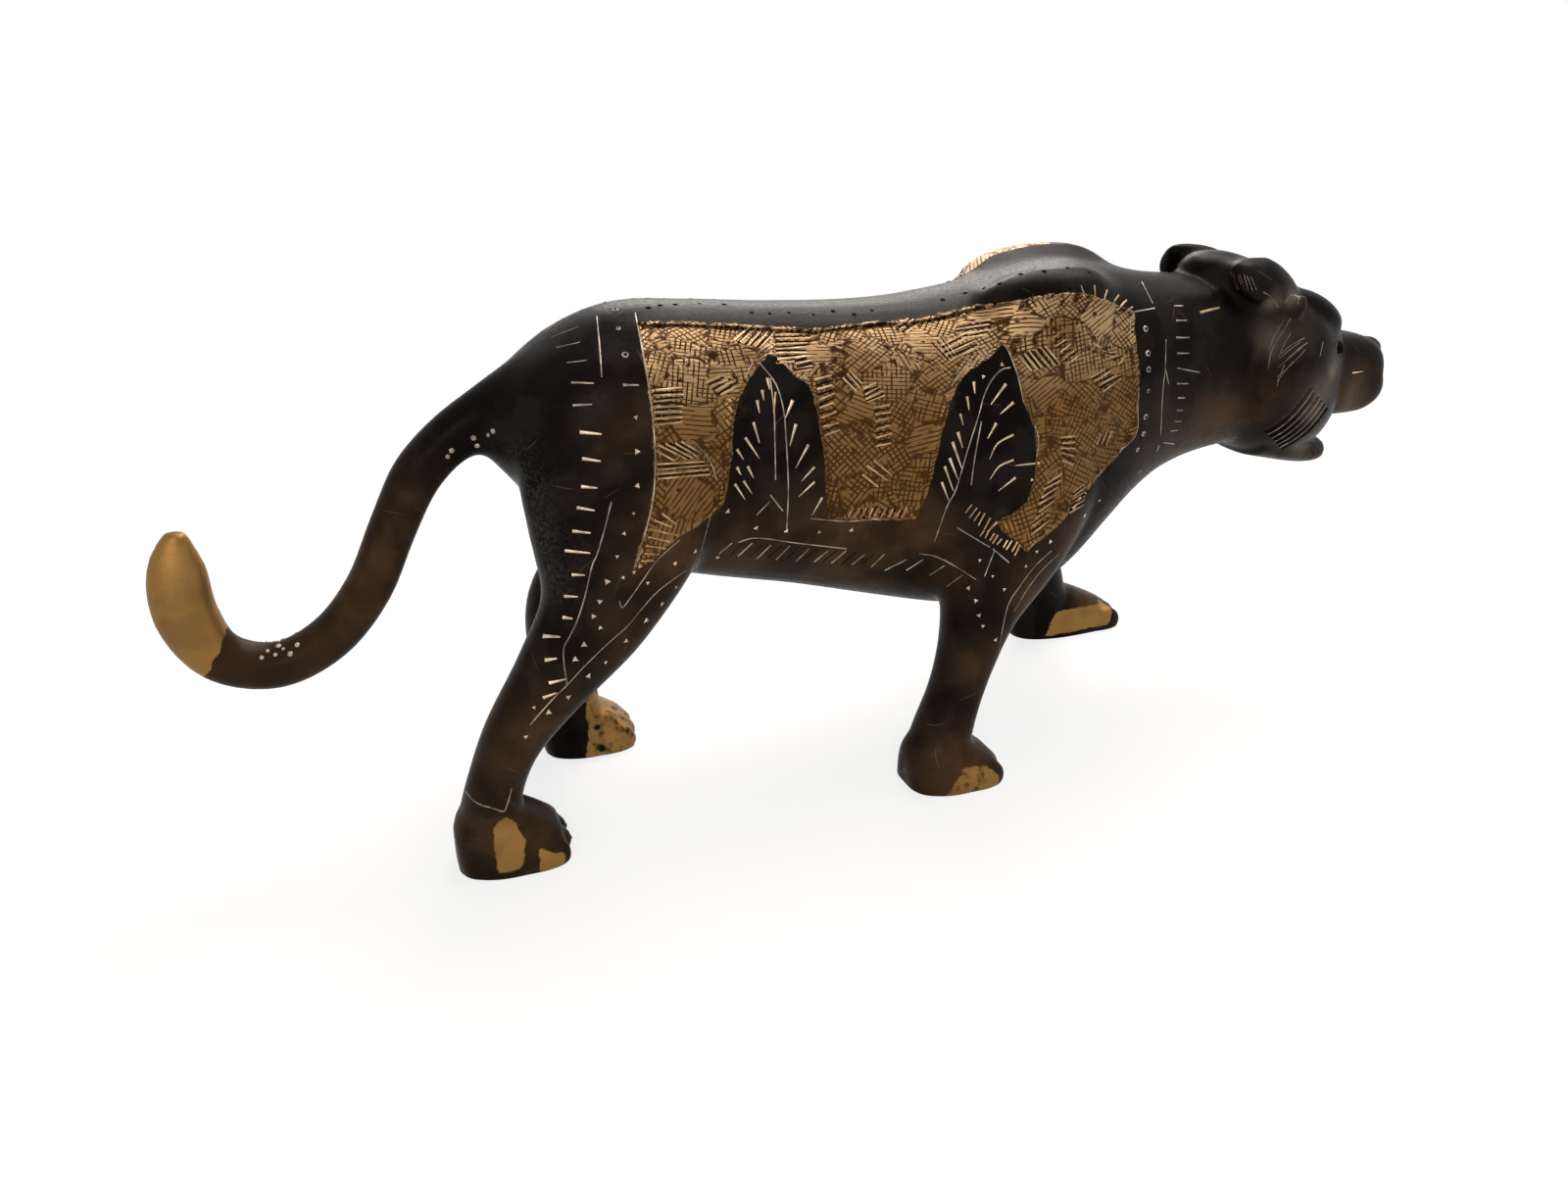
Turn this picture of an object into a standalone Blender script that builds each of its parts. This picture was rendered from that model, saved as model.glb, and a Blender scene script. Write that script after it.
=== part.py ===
"""Walking leopard figurine: one solid brass casting with a carved and engraved skin.

The animal walks towards +X with its head up, jaws open, ears swept back and tail curled up. The
origin is on the ground under the middle of the figure, +Z is up and +Y is the animal's left. All
sizes are in millimetres and become metres as each mesh is made.
"""

import math
from collections import namedtuple

import bmesh
import bpy
import numpy as np
from mathutils import Matrix, Vector

MM = 0.001
COLLECTION = "leopard_figurine"
BODY_NAME = "leopard_casting"

# Fineness of the model
GRAIN = 1.0  # side of the cubes that weld the masses into one skin
FACES = 11600  # triangles of the finished skin
SLIVER = 0.1  # points of the skin nearer than this become one
BLEND_SHARE = 0.5  # how far one round of filing moves a point to its neighbours' mean
SHARP_ANGLE = 35.0  # degrees between faces that keep a crisp edge

# An upright slice of the trunk or the head: its place along the body and its outline
Slice = namedtuple("Slice", "x top bottom half_width")

TRUNK = (
    Slice(-86.0, 90.5, 80.0, 5.0),
    Slice(-82.0, 94.4, 75.0, 11.0),
    Slice(-76.0, 99.6, 68.0, 16.0),
    Slice(-68.0, 104.4, 60.0, 19.5),
    Slice(-57.0, 107.6, 53.0, 21.0),
    Slice(-43.0, 107.0, 48.5, 20.5),
    Slice(-22.0, 105.2, 43.0, 20.0),
    Slice(0.0, 104.5, 36.2, 22.0),
    Slice(18.0, 106.2, 31.6, 24.0),
    Slice(34.0, 109.0, 31.0, 24.5),
    Slice(45.0, 110.0, 35.5, 23.4),
    Slice(54.0, 109.0, 44.0, 21.8),
    Slice(62.0, 107.4, 51.5, 20.0),
    Slice(70.0, 106.0, 56.8, 18.2),
    Slice(79.0, 105.0, 60.0, 16.6),
    Slice(88.0, 103.6, 61.6, 15.4),
    Slice(98.0, 100.0, 62.4, 14.0),
    Slice(106.0, 96.0, 62.6, 13.0),
)
TRUNK_WIDEST = 0.54  # how far up a slice of the trunk its widest level lies
TRUNK_FULLNESS = 2.35

SKULL = (
    Slice(82.0, 107.0, 84.0, 8.0),
    Slice(89.0, 109.8, 82.0, 12.0),
    Slice(98.0, 107.8, 74.0, 14.4),
    Slice(107.0, 103.2, 64.0, 15.5),
    Slice(115.0, 98.4, 60.0, 14.5),
    Slice(121.0, 94.6, 63.0, 12.0),
    Slice(125.6, 90.4, 68.0, 9.0),
)
MUZZLE = (
    Slice(108.0, 89.6, 68.0, 11.5),
    Slice(120.0, 89.3, 67.0, 10.8),
    Slice(128.0, 88.2, 66.4, 9.9),
    Slice(135.0, 87.2, 66.2, 9.3),
    Slice(140.0, 85.8, 66.6, 8.6),
    Slice(143.2, 83.6, 68.8, 7.2),
    Slice(145.0, 80.4, 72.6, 4.6),
)
JAW = (
    Slice(102.0, 68.0, 59.0, 12.5),
    Slice(112.0, 64.0, 56.6, 11.5),
    Slice(119.0, 62.0, 55.0, 10.0),
    Slice(125.0, 61.0, 54.2, 8.4),
    Slice(129.0, 60.4, 54.2, 6.2),
    Slice(131.2, 59.0, 55.6, 3.2),
)
HEAD_FULLNESS = 2.3
MUZZLE_FULLNESS = 3.0
MUZZLE_WIDEST = 0.42

# The face with its cheek ruff, which stands proud of the neck behind and ends bluntly in front
FACE = (
    Slice(91.5, 92.0, 73.0, 15.0),
    Slice(92.6, 94.6, 70.0, 17.8),
    Slice(95.0, 98.2, 66.0, 19.6),
    Slice(99.5, 101.6, 61.4, 20.4),
    Slice(105.0, 102.6, 59.0, 20.0),
    Slice(111.0, 101.4, 57.8, 18.8),
    Slice(116.0, 99.2, 57.4, 17.0),
    Slice(120.0, 97.2, 58.2, 15.0),
    Slice(123.4, 94.4, 60.0, 12.6),
    Slice(125.6, 91.4, 62.6, 9.8),
)
FACE_FULLNESS = 2.2

# Smaller masses and hollows of the face, each a middle and radii, some tipped nose down by so many
# degrees: those off the middle line come in pairs
CROWN = ((92.6, 0.0, 103.2), (12.0, 10.6, 6.0), 16.0)
EAR_HOLLOW = ((94.6, 17.6, 97.6), (5.2, 4.6, 3.4), 34.0)
RUFF_KNOB = ((101.4, 16.0, 98.2), (1.9, 1.8, 3.2), 20.0)
BROW_RIDGE = ((113.6, 7.4, 94.8), (10.8, 6.2, 4.6), 26.0)
WHISKER_PAD = ((137.5, 4.9, 73.8), (7.2, 5.0, 6.4))
NOSE_PAD = ((143.6, 0.0, 82.4), (2.6, 4.2, 2.8))
MOUTH = ((126.0, 0.0, 63.8), (15.0, 10.4, 3.9))
EYE_SOCKET = ((119.4, 14.4, 86.6), (3.4, 2.2, 2.0))
NOSTRIL = ((145.6, 1.9, 81.4), (1.5, 0.9, 0.8))

# A slice across a limb, ear or tail: its middle, radius fore and aft, and radius sideways
Ring = namedtuple("Ring", "x y z fore side")

TAIL = (
    Ring(-68.0, 0.0, 90.0, 13.0, 9.0),
    Ring(-77.0, 0.0, 89.6, 9.0, 7.4),
    Ring(-85.0, 0.0, 87.4, 6.4, 6.0),
    Ring(-92.5, 0.0, 83.4, 5.2, 5.2),
    Ring(-99.2, 0.0, 77.0, 4.9, 4.9),
    Ring(-105.0, 0.0, 67.0, 4.6, 4.7),
    Ring(-111.2, 0.0, 55.0, 4.6, 4.7),
    Ring(-119.6, 0.0, 45.8, 4.6, 4.7),
    Ring(-130.0, 0.0, 41.6, 4.6, 4.7),
    Ring(-139.8, 0.0, 45.2, 5.0, 4.8),
    Ring(-144.1, 0.0, 54.6, 5.7, 4.6),
    Ring(-144.0, 0.0, 64.6, 5.0, 3.6),
    Ring(-142.8, 0.0, 71.6, 1.8, 1.5),
)
TAIL_LUMP = ((-95.5, 0.0, 77.8), (3.2, 3.0, 2.6))

# Each leg from the shoulder blade or hip down to the ankle
NEAR_HIND_LEG = (
    Ring(-56.0, -10.0, 102.0, 4.0, 3.5),
    Ring(-57.0, -11.0, 96.5, 14.0, 8.5),
    Ring(-59.0, -11.8, 87.0, 20.0, 10.6),
    Ring(-61.3, -12.4, 74.0, 20.8, 11.6),
    Ring(-64.4, -13.8, 61.0, 17.4, 11.0),
    Ring(-69.5, -15.6, 49.0, 12.0, 9.4),
    Ring(-78.8, -17.4, 38.0, 8.4, 8.0),
    Ring(-88.2, -18.9, 27.0, 6.2, 7.0),
    Ring(-93.0, -19.8, 17.5, 5.7, 6.5),
    Ring(-95.0, -20.0, 9.0, 6.4, 7.4),
    Ring(-95.0, -20.0, 2.0, 7.0, 7.8),
)
FAR_HIND_LEG = (
    Ring(-54.0, 10.0, 102.0, 4.0, 3.5),
    Ring(-55.0, 11.0, 96.5, 14.0, 8.5),
    Ring(-57.0, 11.8, 87.0, 20.0, 10.6),
    Ring(-57.0, 12.4, 74.0, 18.6, 11.6),
    Ring(-58.0, 14.0, 61.0, 14.0, 10.6),
    Ring(-62.0, 15.8, 49.0, 10.6, 9.0),
    Ring(-68.8, 17.2, 37.0, 9.4, 7.8),
    Ring(-71.0, 18.0, 26.0, 7.6, 7.0),
    Ring(-70.0, 18.5, 16.0, 6.6, 6.6),
    Ring(-69.6, 18.5, 8.0, 7.0, 7.2),
    Ring(-69.6, 18.5, 2.0, 7.2, 7.4),
)
NEAR_FORE_LEG = (
    Ring(36.0, -7.2, 108.8, 10.0, 5.0),
    Ring(36.0, -9.4, 105.6, 17.0, 8.8),
    Ring(35.5, -11.8, 99.0, 18.0, 9.4),
    Ring(34.5, -12.8, 91.0, 17.5, 9.8),
    Ring(34.5, -13.4, 81.0, 18.5, 11.0),
    Ring(33.0, -15.2, 66.0, 16.6, 11.0),
    Ring(25.6, -18.4, 52.0, 14.2, 10.2),
    Ring(17.4, -21.6, 40.0, 10.0, 8.8),
    Ring(13.2, -23.8, 29.5, 7.0, 7.4),
    Ring(9.2, -25.6, 19.0, 6.0, 6.8),
    Ring(5.4, -27.2, 9.5, 6.8, 7.4),
    Ring(4.8, -27.5, 2.0, 7.4, 8.0),
)
FAR_FORE_LEG = (
    Ring(47.0, 6.6, 109.8, 11.0, 5.0),
    Ring(47.0, 8.8, 106.8, 19.5, 9.0),
    Ring(46.0, 11.6, 100.0, 21.0, 9.8),
    Ring(45.5, 12.8, 91.0, 18.0, 10.0),
    Ring(44.5, 13.4, 81.0, 17.0, 11.0),
    Ring(43.0, 15.4, 66.0, 14.5, 10.8),
    Ring(46.5, 18.8, 51.0, 12.4, 9.8),
    Ring(53.0, 22.0, 39.0, 10.2, 8.6),
    Ring(60.0, 25.2, 28.0, 8.6, 7.6),
    Ring(66.0, 28.0, 17.5, 7.6, 7.2),
    Ring(68.8, 29.8, 9.0, 7.8, 7.8),
    Ring(69.2, 30.2, 2.0, 8.0, 8.2),
)

# A paw: its heel and toes along the body, its middle across it, its width and its height
Paw = namedtuple("Paw", "heel toe y width height")

PAWS = (
    Paw(-102.6, -79.0, -20.0, 19.0, 15.0),
    Paw(-77.0, -54.6, 18.5, 18.5, 13.5),
    Paw(-3.6, 19.6, -27.8, 19.0, 13.5),
    Paw(60.5, 95.0, 30.8, 18.5, 14.5),
)
PAW_SHAPE = (  # along a paw: share of its length, of its height and of its half width
    (0.0, 0.55, 0.35), (0.08, 0.8, 0.7), (0.3, 1.0, 0.95),
    (0.55, 0.82, 1.0), (0.78, 0.56, 0.96), (0.9, 0.4, 0.8),
)
TOES = 4
TOE_RADII = (6.5, 2.7, 4.6)
TOE_SETBACK = 0.5  # how far the outer toes stand back
TOE_OVERLAP = 0.4  # how far each toe swells into its neighbours
TOE_LEVEL = 1.6

EAR = (
    Ring(84.2, 12.4, 106.2, 1.5, 3.2),
    Ring(86.0, 12.3, 106.2, 2.2, 4.8),
    Ring(91.0, 11.8, 105.0, 2.8, 5.8),
    Ring(97.0, 10.8, 102.8, 3.6, 6.2),
    Ring(103.0, 9.2, 98.6, 3.9, 5.4),
    Ring(109.0, 6.4, 93.0, 2.8, 3.6),
)
EAR_SLOPE = 54.0  # degrees that an ear's flap falls outwards

# The sunk gold ground on each flank, seen from the side, as x and z along its edge
PANEL_DEPTH = 0.5
PANEL_REAR = (
    (-63.2, 61.7), (-61.4, 66.1), (-59.7, 70.0), (-58.0, 76.6), (-57.3, 83.2), (-57.2, 90.1), (-57.1, 100.8),
)
PANEL_TOP = (
    (-55.7, 105.0), (-48.4, 104.6), (-41.7, 103.8), (-29.5, 102.3), (-20.7, 101.2), (-6.6, 101.5),
    (1.5, 101.3), (9.4, 102.0), (17.1, 103.4), (24.0, 105.0), (31.0, 106.0), (38.6, 105.8), (43.7, 104.0),
    (49.0, 102.2),
)
PANEL_FRONT = (
    (53.7, 100.5), (52.6, 97.1), (53.2, 90.9), (53.9, 81.1), (54.4, 74.4), (48.7, 69.6), (40.9, 64.3),
    (32.5, 58.3), (27.4, 55.6), (23.6, 53.6), (20.0, 56.8),
)

# The two leaves left standing in the ground, each up its front edge and down its rear edge
FRONT_LEAF = (
    (17.5, 59.4), (20.9, 60.8), (24.5, 63.4), (26.6, 68.9), (26.9, 75.5), (25.8, 80.4), (23.6, 84.6),
    (22.5, 90.2), (21.4, 94.7), (19.9, 97.2), (16.6, 94.9), (11.3, 92.6), (8.5, 90.4), (6.4, 87.2),
    (4.9, 83.2), (3.9, 79.6), (3.2, 75.9), (2.3, 71.1), (0.9, 66.1), (-0.7, 61.6),
)
REAR_LEAF = (
    (-19.4, 63.4), (-20.4, 70.9), (-21.0, 78.3), (-22.0, 83.6), (-22.8, 89.8), (-23.7, 92.3),
    (-26.7, 94.5), (-28.8, 97.2), (-30.8, 99.3), (-34.2, 96.9), (-37.1, 94.4), (-39.9, 90.4),
    (-41.3, 85.7), (-41.5, 80.8), (-42.4, 75.1), (-43.5, 70.2),
)
PANEL_LOW_REAR = ((-45.4, 68.8), (-49.0, 67.3), (-53.5, 66.1), (-57.3, 64.3), (-60.2, 62.4))

# The grooves carved across each cheek
GROOVES = 6
GROOVE_PITCH = 2.3
GROOVE_WIDTH = 1.35
GROOVE_LENGTH = 13.5
GROOVE_DEPTH = 0.9
GROOVE_ANGLE = 56.0
GROOVE_MIDDLE = (107.0, 70.6)  # x and z of the middle of the row

# Where the file softens the joins: middle, radius and rounds of filing
Softening = namedtuple("Softening", "x y z radius rounds")
SOFTENINGS = (
    Softening(0.0, 0.0, 60.0, 400.0, 2),
    Softening(-60.0, 0.0, 80.0, 44.0, 30),
    Softening(36.0, 0.0, 84.0, 40.0, 24),
    Softening(10.0, -4.0, 38.0, 28.0, 40),
    Softening(50.0, 0.0, 40.0, 24.0, 20),
    Softening(-62.0, 0.0, 46.0, 24.0, 14),
    Softening(-82.0, 0.0, 90.0, 12.0, 10),
    Softening(44.0, 2.0, 108.0, 34.0, 60),
    Softening(88.0, -11.0, 107.0, 8.0, 40),
    Softening(102.0, 0.0, 106.0, 12.0, 10),
    Softening(118.0, 0.0, 92.0, 12.0, 8),
)

# What the side cutters reach across the body, and how far beyond an outline its skin is sunk
CUTTER_INNER = 5.0
CUTTER_OUTER = 45.0
SKIN_MARGIN = 6.0


def remove_objects():
    """Empty the file before modelling."""
    for thing in list(bpy.data.objects):
        bpy.data.objects.remove(thing)


def smooth_between(a, b, c, d, t):
    """The point a share t of the way from b to c on a smooth curve through a, b, c and d."""
    return tuple(
        0.5 * (2 * q + (r - p) * t + (2 * p - 5 * q + 4 * r - s) * t * t + (3 * q - p - 3 * r + s) * t**3)
        for p, q, r, s in zip(a, b, c, d)
    )


def refine(stations, spans=5):
    """The stations with spans - 1 more between each pair, on a smooth curve."""
    kind = type(stations[0])
    fine = []
    last = len(stations) - 1
    for index in range(last):
        before = stations[max(index - 1, 0)]
        after = stations[min(index + 2, last)]
        for step in range(spans):
            place = smooth_between(before, stations[index], stations[index + 1], after, step / spans)
            fine.append(kind(*place))
    fine.append(stations[last])
    return fine


def as_object(name, bm):
    """Turn a bmesh into an object of the scene."""
    mesh = bpy.data.meshes.new(name)
    bm.to_mesh(mesh)
    bm.free()
    thing = bpy.data.objects.new(name, mesh)
    bpy.context.scene.collection.objects.link(thing)
    return thing


def loft(name, rings):
    """A closed tube of quads through the rings, each of as many points as the others."""
    bm = bmesh.new()
    rows = [[bm.verts.new(point * MM) for point in ring] for ring in rings]
    sides = len(rings[0])
    for near, far in zip(rows, rows[1:]):
        for k in range(sides):
            bm.faces.new((near[k], near[(k + 1) % sides], far[(k + 1) % sides], far[k]))
    bm.faces.new(rows[0][::-1])
    bm.faces.new(rows[-1])
    bmesh.ops.recalc_face_normals(bm, faces=bm.faces)
    return as_object(name, bm)


def oval(sides, fullness):
    """The two factors of each point of a ring: an ellipse at fullness 2, and squarer above that."""
    for k in range(sides):
        angle = 2 * math.pi * k / sides
        c, s = math.cos(angle), math.sin(angle)
        yield math.copysign(abs(c) ** (2 / fullness), c), math.copysign(abs(s) ** (2 / fullness), s)


def hull(name, slices, fullness, widest=0.5, sides=32):
    """A mass from upright slices, each widest at a share of its height."""
    rings = []
    for cut in refine(slices):
        level = cut.bottom + widest * (cut.top - cut.bottom)
        ring = []
        for u, v in oval(sides, fullness):
            height = (cut.top - level) if v > 0 else (level - cut.bottom)
            ring.append(Vector((cut.x, cut.half_width * u, level + height * v)))
        rings.append(ring)
    return loft(name, rings)


def limb(name, stations, roll=0.0, sides=22, fullness=2.1):
    """A mass whose slices stand square to a curved middle line, rolled about it by roll degrees."""
    fine = refine(stations)
    rings = []
    for index, cut in enumerate(fine):
        centre = Vector(cut[:3])
        ahead = Vector(fine[min(index + 1, len(fine) - 1)][:3])
        behind = Vector(fine[max(index - 1, 0)][:3])
        along = (ahead - behind).normalized()
        side = Vector((0, 1, 0))
        side = (side - along * side.dot(along)).normalized()
        side.rotate(Matrix.Rotation(math.radians(roll), 3, along))
        fore = along.cross(side)
        rings.append([centre + fore * cut.fore * u + side * cut.side * v for u, v in oval(sides, fullness)])
    return loft(name, rings)


def ball(name, centre, radii, pitch=0.0):
    """An ellipsoid at centre, tipped nose down by pitch degrees."""
    bm = bmesh.new()
    bmesh.ops.create_uvsphere(bm, u_segments=28, v_segments=18, radius=1.0)
    bmesh.ops.scale(bm, vec=Vector(radii) * MM, verts=bm.verts)
    bmesh.ops.rotate(bm, verts=bm.verts, matrix=Matrix.Rotation(math.radians(pitch), 3, "Y"))
    bmesh.ops.translate(bm, vec=Vector(centre) * MM, verts=bm.verts)
    return as_object(name, bm)


def cut_flat(thing, point, normal):
    """Take away what lies beyond a plane, and close the cut."""
    bm = bmesh.new()
    bm.from_mesh(thing.data)
    everything = bm.verts[:] + bm.edges[:] + bm.faces[:]
    found = bmesh.ops.bisect_plane(
        bm, geom=everything, plane_co=Vector(point) * MM, plane_no=Vector(normal), clear_outer=True
    )
    rim = [edge for edge in found["geom_cut"] if isinstance(edge, bmesh.types.BMEdge)]
    bmesh.ops.holes_fill(bm, edges=rim)
    bmesh.ops.recalc_face_normals(bm, faces=bm.faces)
    bm.to_mesh(thing.data)
    bm.free()


def pair(name, mass):
    """A ball on each side of the head, or one where its middle is on the middle line."""
    (x, y, z), *shape = mass
    sides = (-1, 1) if y else (1,)
    return [ball(name, (x, side * y, z), *shape) for side in sides]


def ear(side):
    """One swept back ear flap, on the side -1 or 1."""
    rings = [Ring(r.x, side * r.y, r.z, r.fore, r.side) for r in EAR]
    return limb("ear", rings, roll=-side * EAR_SLOPE)


def paw(size):
    """A wedge shaped paw that ends in a row of toes."""
    length = size.toe - size.heel
    half = size.width / 2
    slices = [
        Slice(size.heel + share * length, tall * size.height, -tall * size.height, wide * half)
        for share, tall, wide in PAW_SHAPE
    ]
    masses = [hull("paw", slices, 2.5)]
    reach, across, height = TOE_RADII
    for k in range(TOES):
        from_middle = k - (TOES - 1) / 2
        x = size.toe - reach - TOE_SETBACK * from_middle**2
        y = size.y + from_middle * (size.width - 2 * across) / (TOES - 1)
        masses.append(ball("toe", (x, y, TOE_LEVEL), (reach, across + TOE_OVERLAP, height)))
    for vertex in masses[0].data.vertices:
        vertex.co.y += size.y * MM
    return masses


def apply_modifiers(thing):
    """Make what the modifiers show the object's own mesh."""
    graph = bpy.context.evaluated_depsgraph_get()
    thing.data = bpy.data.meshes.new_from_object(thing.evaluated_get(graph))
    thing.modifiers.clear()


def join(name, things):
    """One object that holds the meshes of several, still overlapping."""
    bm = bmesh.new()
    for thing in things:
        bm.from_mesh(thing.data)
    whole = as_object(name, bm)
    for thing in things:
        bpy.data.objects.remove(thing)
    return whole


def subtract(thing, cutter):
    """Cut one closed mesh from another, and remove the cutter."""
    cut = thing.modifiers.new("cut", "BOOLEAN")
    cut.operation = "DIFFERENCE"
    cut.solver = "EXACT"
    cut.object = cutter
    apply_modifiers(thing)
    bpy.data.objects.remove(cutter)


def panel_outline():
    """The edge of the sunk ground, round both leaves, as x and z."""
    return PANEL_REAR + PANEL_TOP + PANEL_FRONT + FRONT_LEAF + REAR_LEAF + PANEL_LOW_REAR


def groove_outlines():
    """The edges of the cheek grooves: slanting bars side by side."""
    angle = math.radians(GROOVE_ANGLE)
    along = Vector((math.cos(angle), math.sin(angle))) * GROOVE_LENGTH / 2
    across = Vector((math.sin(angle), -math.cos(angle)))
    for k in range(GROOVES):
        middle = Vector(GROOVE_MIDDLE) + across * GROOVE_PITCH * (k - (GROOVES - 1) / 2)
        half = across * GROOVE_WIDTH / 2
        yield [middle - along - half, middle + along - half, middle + along + half, middle - along + half]


def prism(outline, side):
    """A side cutter with the given outline, on the side -1 or 1."""
    bm = bmesh.new()
    face = bm.faces.new([bm.verts.new(Vector((x, side * CUTTER_INNER, z)) * MM) for x, z in outline])
    grown = bmesh.ops.extrude_face_region(bm, geom=[face])
    moved = [part for part in grown["geom"] if isinstance(part, bmesh.types.BMVert)]
    bmesh.ops.translate(bm, vec=Vector((0, side * (CUTTER_OUTER - CUTTER_INNER), 0)) * MM, verts=moved)
    bmesh.ops.triangulate(bm, faces=bm.faces[:])
    bmesh.ops.recalc_face_normals(bm, faces=bm.faces)
    return as_object("side_cutter", bm)


def carve(thing, outlines, depth):
    """Sink the skin by depth inside each outline, on both flanks."""
    outlines = list(outlines)
    corners = [point for outline in outlines for point in outline]
    low = [(min(point[k] for point in corners) - SKIN_MARGIN) * MM for k in (0, 1)]
    high = [(max(point[k] for point in corners) + SKIN_MARGIN) * MM for k in (0, 1)]
    inner = bpy.data.objects.new("inner_skin", thing.data.copy())
    bpy.context.scene.collection.objects.link(inner)
    normals = [vertex.normal.copy() for vertex in inner.data.vertices]
    for vertex, normal in zip(inner.data.vertices, normals):
        inside = low[0] < vertex.co.x < high[0] and low[1] < vertex.co.z < high[1]
        if inside and abs(vertex.co.y) > CUTTER_INNER * MM:
            vertex.co -= normal * depth * MM
    cutter = join("carving", [prism(outline, side) for outline in outlines for side in (-1, 1)])
    subtract(cutter, inner)
    subtract(thing, cutter)


def weld(thing):
    """Turn overlapping masses into one skin."""
    remesh = thing.modifiers.new("weld", "REMESH")
    remesh.mode = "VOXEL"
    remesh.voxel_size = GRAIN * MM
    apply_modifiers(thing)


def soften(thing):
    """Ease the skin around each join, most at its middle and not at all at its rim."""
    mesh = thing.data
    count = len(mesh.vertices)
    places = np.empty(count * 3)
    mesh.vertices.foreach_get("co", places)
    places = places.reshape(-1, 3)
    ends = np.empty(len(mesh.edges) * 2, dtype=np.int64)
    mesh.edges.foreach_get("vertices", ends)
    starts, stops = ends[0::2], ends[1::2]
    neighbours = np.bincount(ends, minlength=count)
    for spot in SOFTENINGS:
        away = np.linalg.norm(places - np.array((spot.x, spot.y, spot.z)) * MM, axis=1) / (spot.radius * MM)
        share = BLEND_SHARE * np.clip(2 * (1 - away), 0, 1)
        for _ in range(spot.rounds):
            for axis in range(3):
                total = np.bincount(starts, places[stops, axis], count)
                total += np.bincount(stops, places[starts, axis], count)
                places[:, axis] += share * (total / neighbours - places[:, axis])
    mesh.vertices.foreach_set("co", places.ravel())
    mesh.update()


def model_masses():
    """Every mass that the casting is welded from."""
    masses = [
        hull("trunk", TRUNK, TRUNK_FULLNESS, TRUNK_WIDEST),
        hull("skull", SKULL, HEAD_FULLNESS),
        hull("face", FACE, FACE_FULLNESS),
        hull("muzzle", MUZZLE, MUZZLE_FULLNESS, MUZZLE_WIDEST),
        hull("jaw", JAW, HEAD_FULLNESS),
        limb("tail", TAIL),
        ball("tail_lump", *TAIL_LUMP),
        ear(-1),
        ear(1),
    ]
    masses += [limb("leg", leg) for leg in (NEAR_HIND_LEG, FAR_HIND_LEG, NEAR_FORE_LEG, FAR_FORE_LEG)]
    for size in PAWS:
        masses += paw(size)
    for mass in (CROWN, RUFF_KNOB, BROW_RIDGE, WHISKER_PAD, NOSE_PAD):
        masses += pair("face_mass", mass)
    return masses


def centre(thing):
    """Put the middle of the figure over the origin."""
    low = [min(vertex.co[axis] for vertex in thing.data.vertices) for axis in (0, 1)]
    high = [max(vertex.co[axis] for vertex in thing.data.vertices) for axis in (0, 1)]
    thing.data.transform(Matrix.Translation((-(low[0] + high[0]) / 2, -(low[1] + high[1]) / 2, 0)))


def brass():
    """Dark patinated brass."""
    metal = bpy.data.materials.new("patinated_brass")
    metal.use_nodes = True
    shader = metal.node_tree.nodes["Principled BSDF"]
    shader.inputs["Base Color"].default_value = (0.045, 0.034, 0.026, 1.0)
    shader.inputs["Metallic"].default_value = 0.85
    shader.inputs["Roughness"].default_value = 0.38
    return metal


def thin_out(thing, faces):
    """Close up the slivers that cutting leaves, and bring the skin down to so many triangles."""
    bm = bmesh.new()
    bm.from_mesh(thing.data)
    bmesh.ops.remove_doubles(bm, verts=bm.verts, dist=SLIVER * MM)
    bmesh.ops.triangulate(bm, faces=bm.faces[:])
    bm.to_mesh(thing.data)
    bm.free()
    thin = thing.modifiers.new("thin", "DECIMATE")
    thin.ratio = faces / len(thing.data.polygons)
    apply_modifiers(thing)


def main():
    remove_objects()
    body = join(BODY_NAME, model_masses())
    weld(body)
    soften(body)
    cut_flat(body, (0.0, 0.0, 0.0), (0.0, 0.0, -1.0))
    for hollow in (MOUTH, EAR_HOLLOW, EYE_SOCKET, NOSTRIL):
        for cutter in pair("hollow", hollow):
            subtract(body, cutter)
    carve(body, [panel_outline()], PANEL_DEPTH)
    carve(body, groove_outlines(), GROOVE_DEPTH)
    thin_out(body, FACES)
    centre(body)
    body.data.materials.clear()
    body.data.materials.append(brass())
    body.data.shade_smooth()
    body.data.set_sharp_from_angle(angle=math.radians(SHARP_ANGLE))
    home = bpy.data.collections.new(COLLECTION)
    bpy.context.scene.collection.children.link(home)
    home.objects.link(body)
    bpy.context.scene.collection.objects.unlink(body)


if __name__ == "__main__":
    main()
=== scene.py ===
"""Looks of a walking leopard, cast in brass, patinated nearly black and engraved down to bright metal.

The skin is welded from the same masses as the solid it stands for, only finer, and carries measures that
its finish reads: how deep a point lies in the gold ground of a flank, and how far round the body it is.
The engraver's cuts are laid on the skin as fine strokes and punch marks. Places on the skin that are read
off the picture are given as pixels of its 1600 by 1204 frame and thrown on the skin through the
camera. Sizes are in millimetres and become metres as each mesh is made.
"""

import logging
import math
import random
from dataclasses import dataclass, field
from enum import Enum
from typing import Iterable, Iterator, NamedTuple, Sequence

import bmesh
import bpy
import numpy as np
from mathutils import Matrix, Vector
from mathutils.bvhtree import BVHTree


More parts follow.
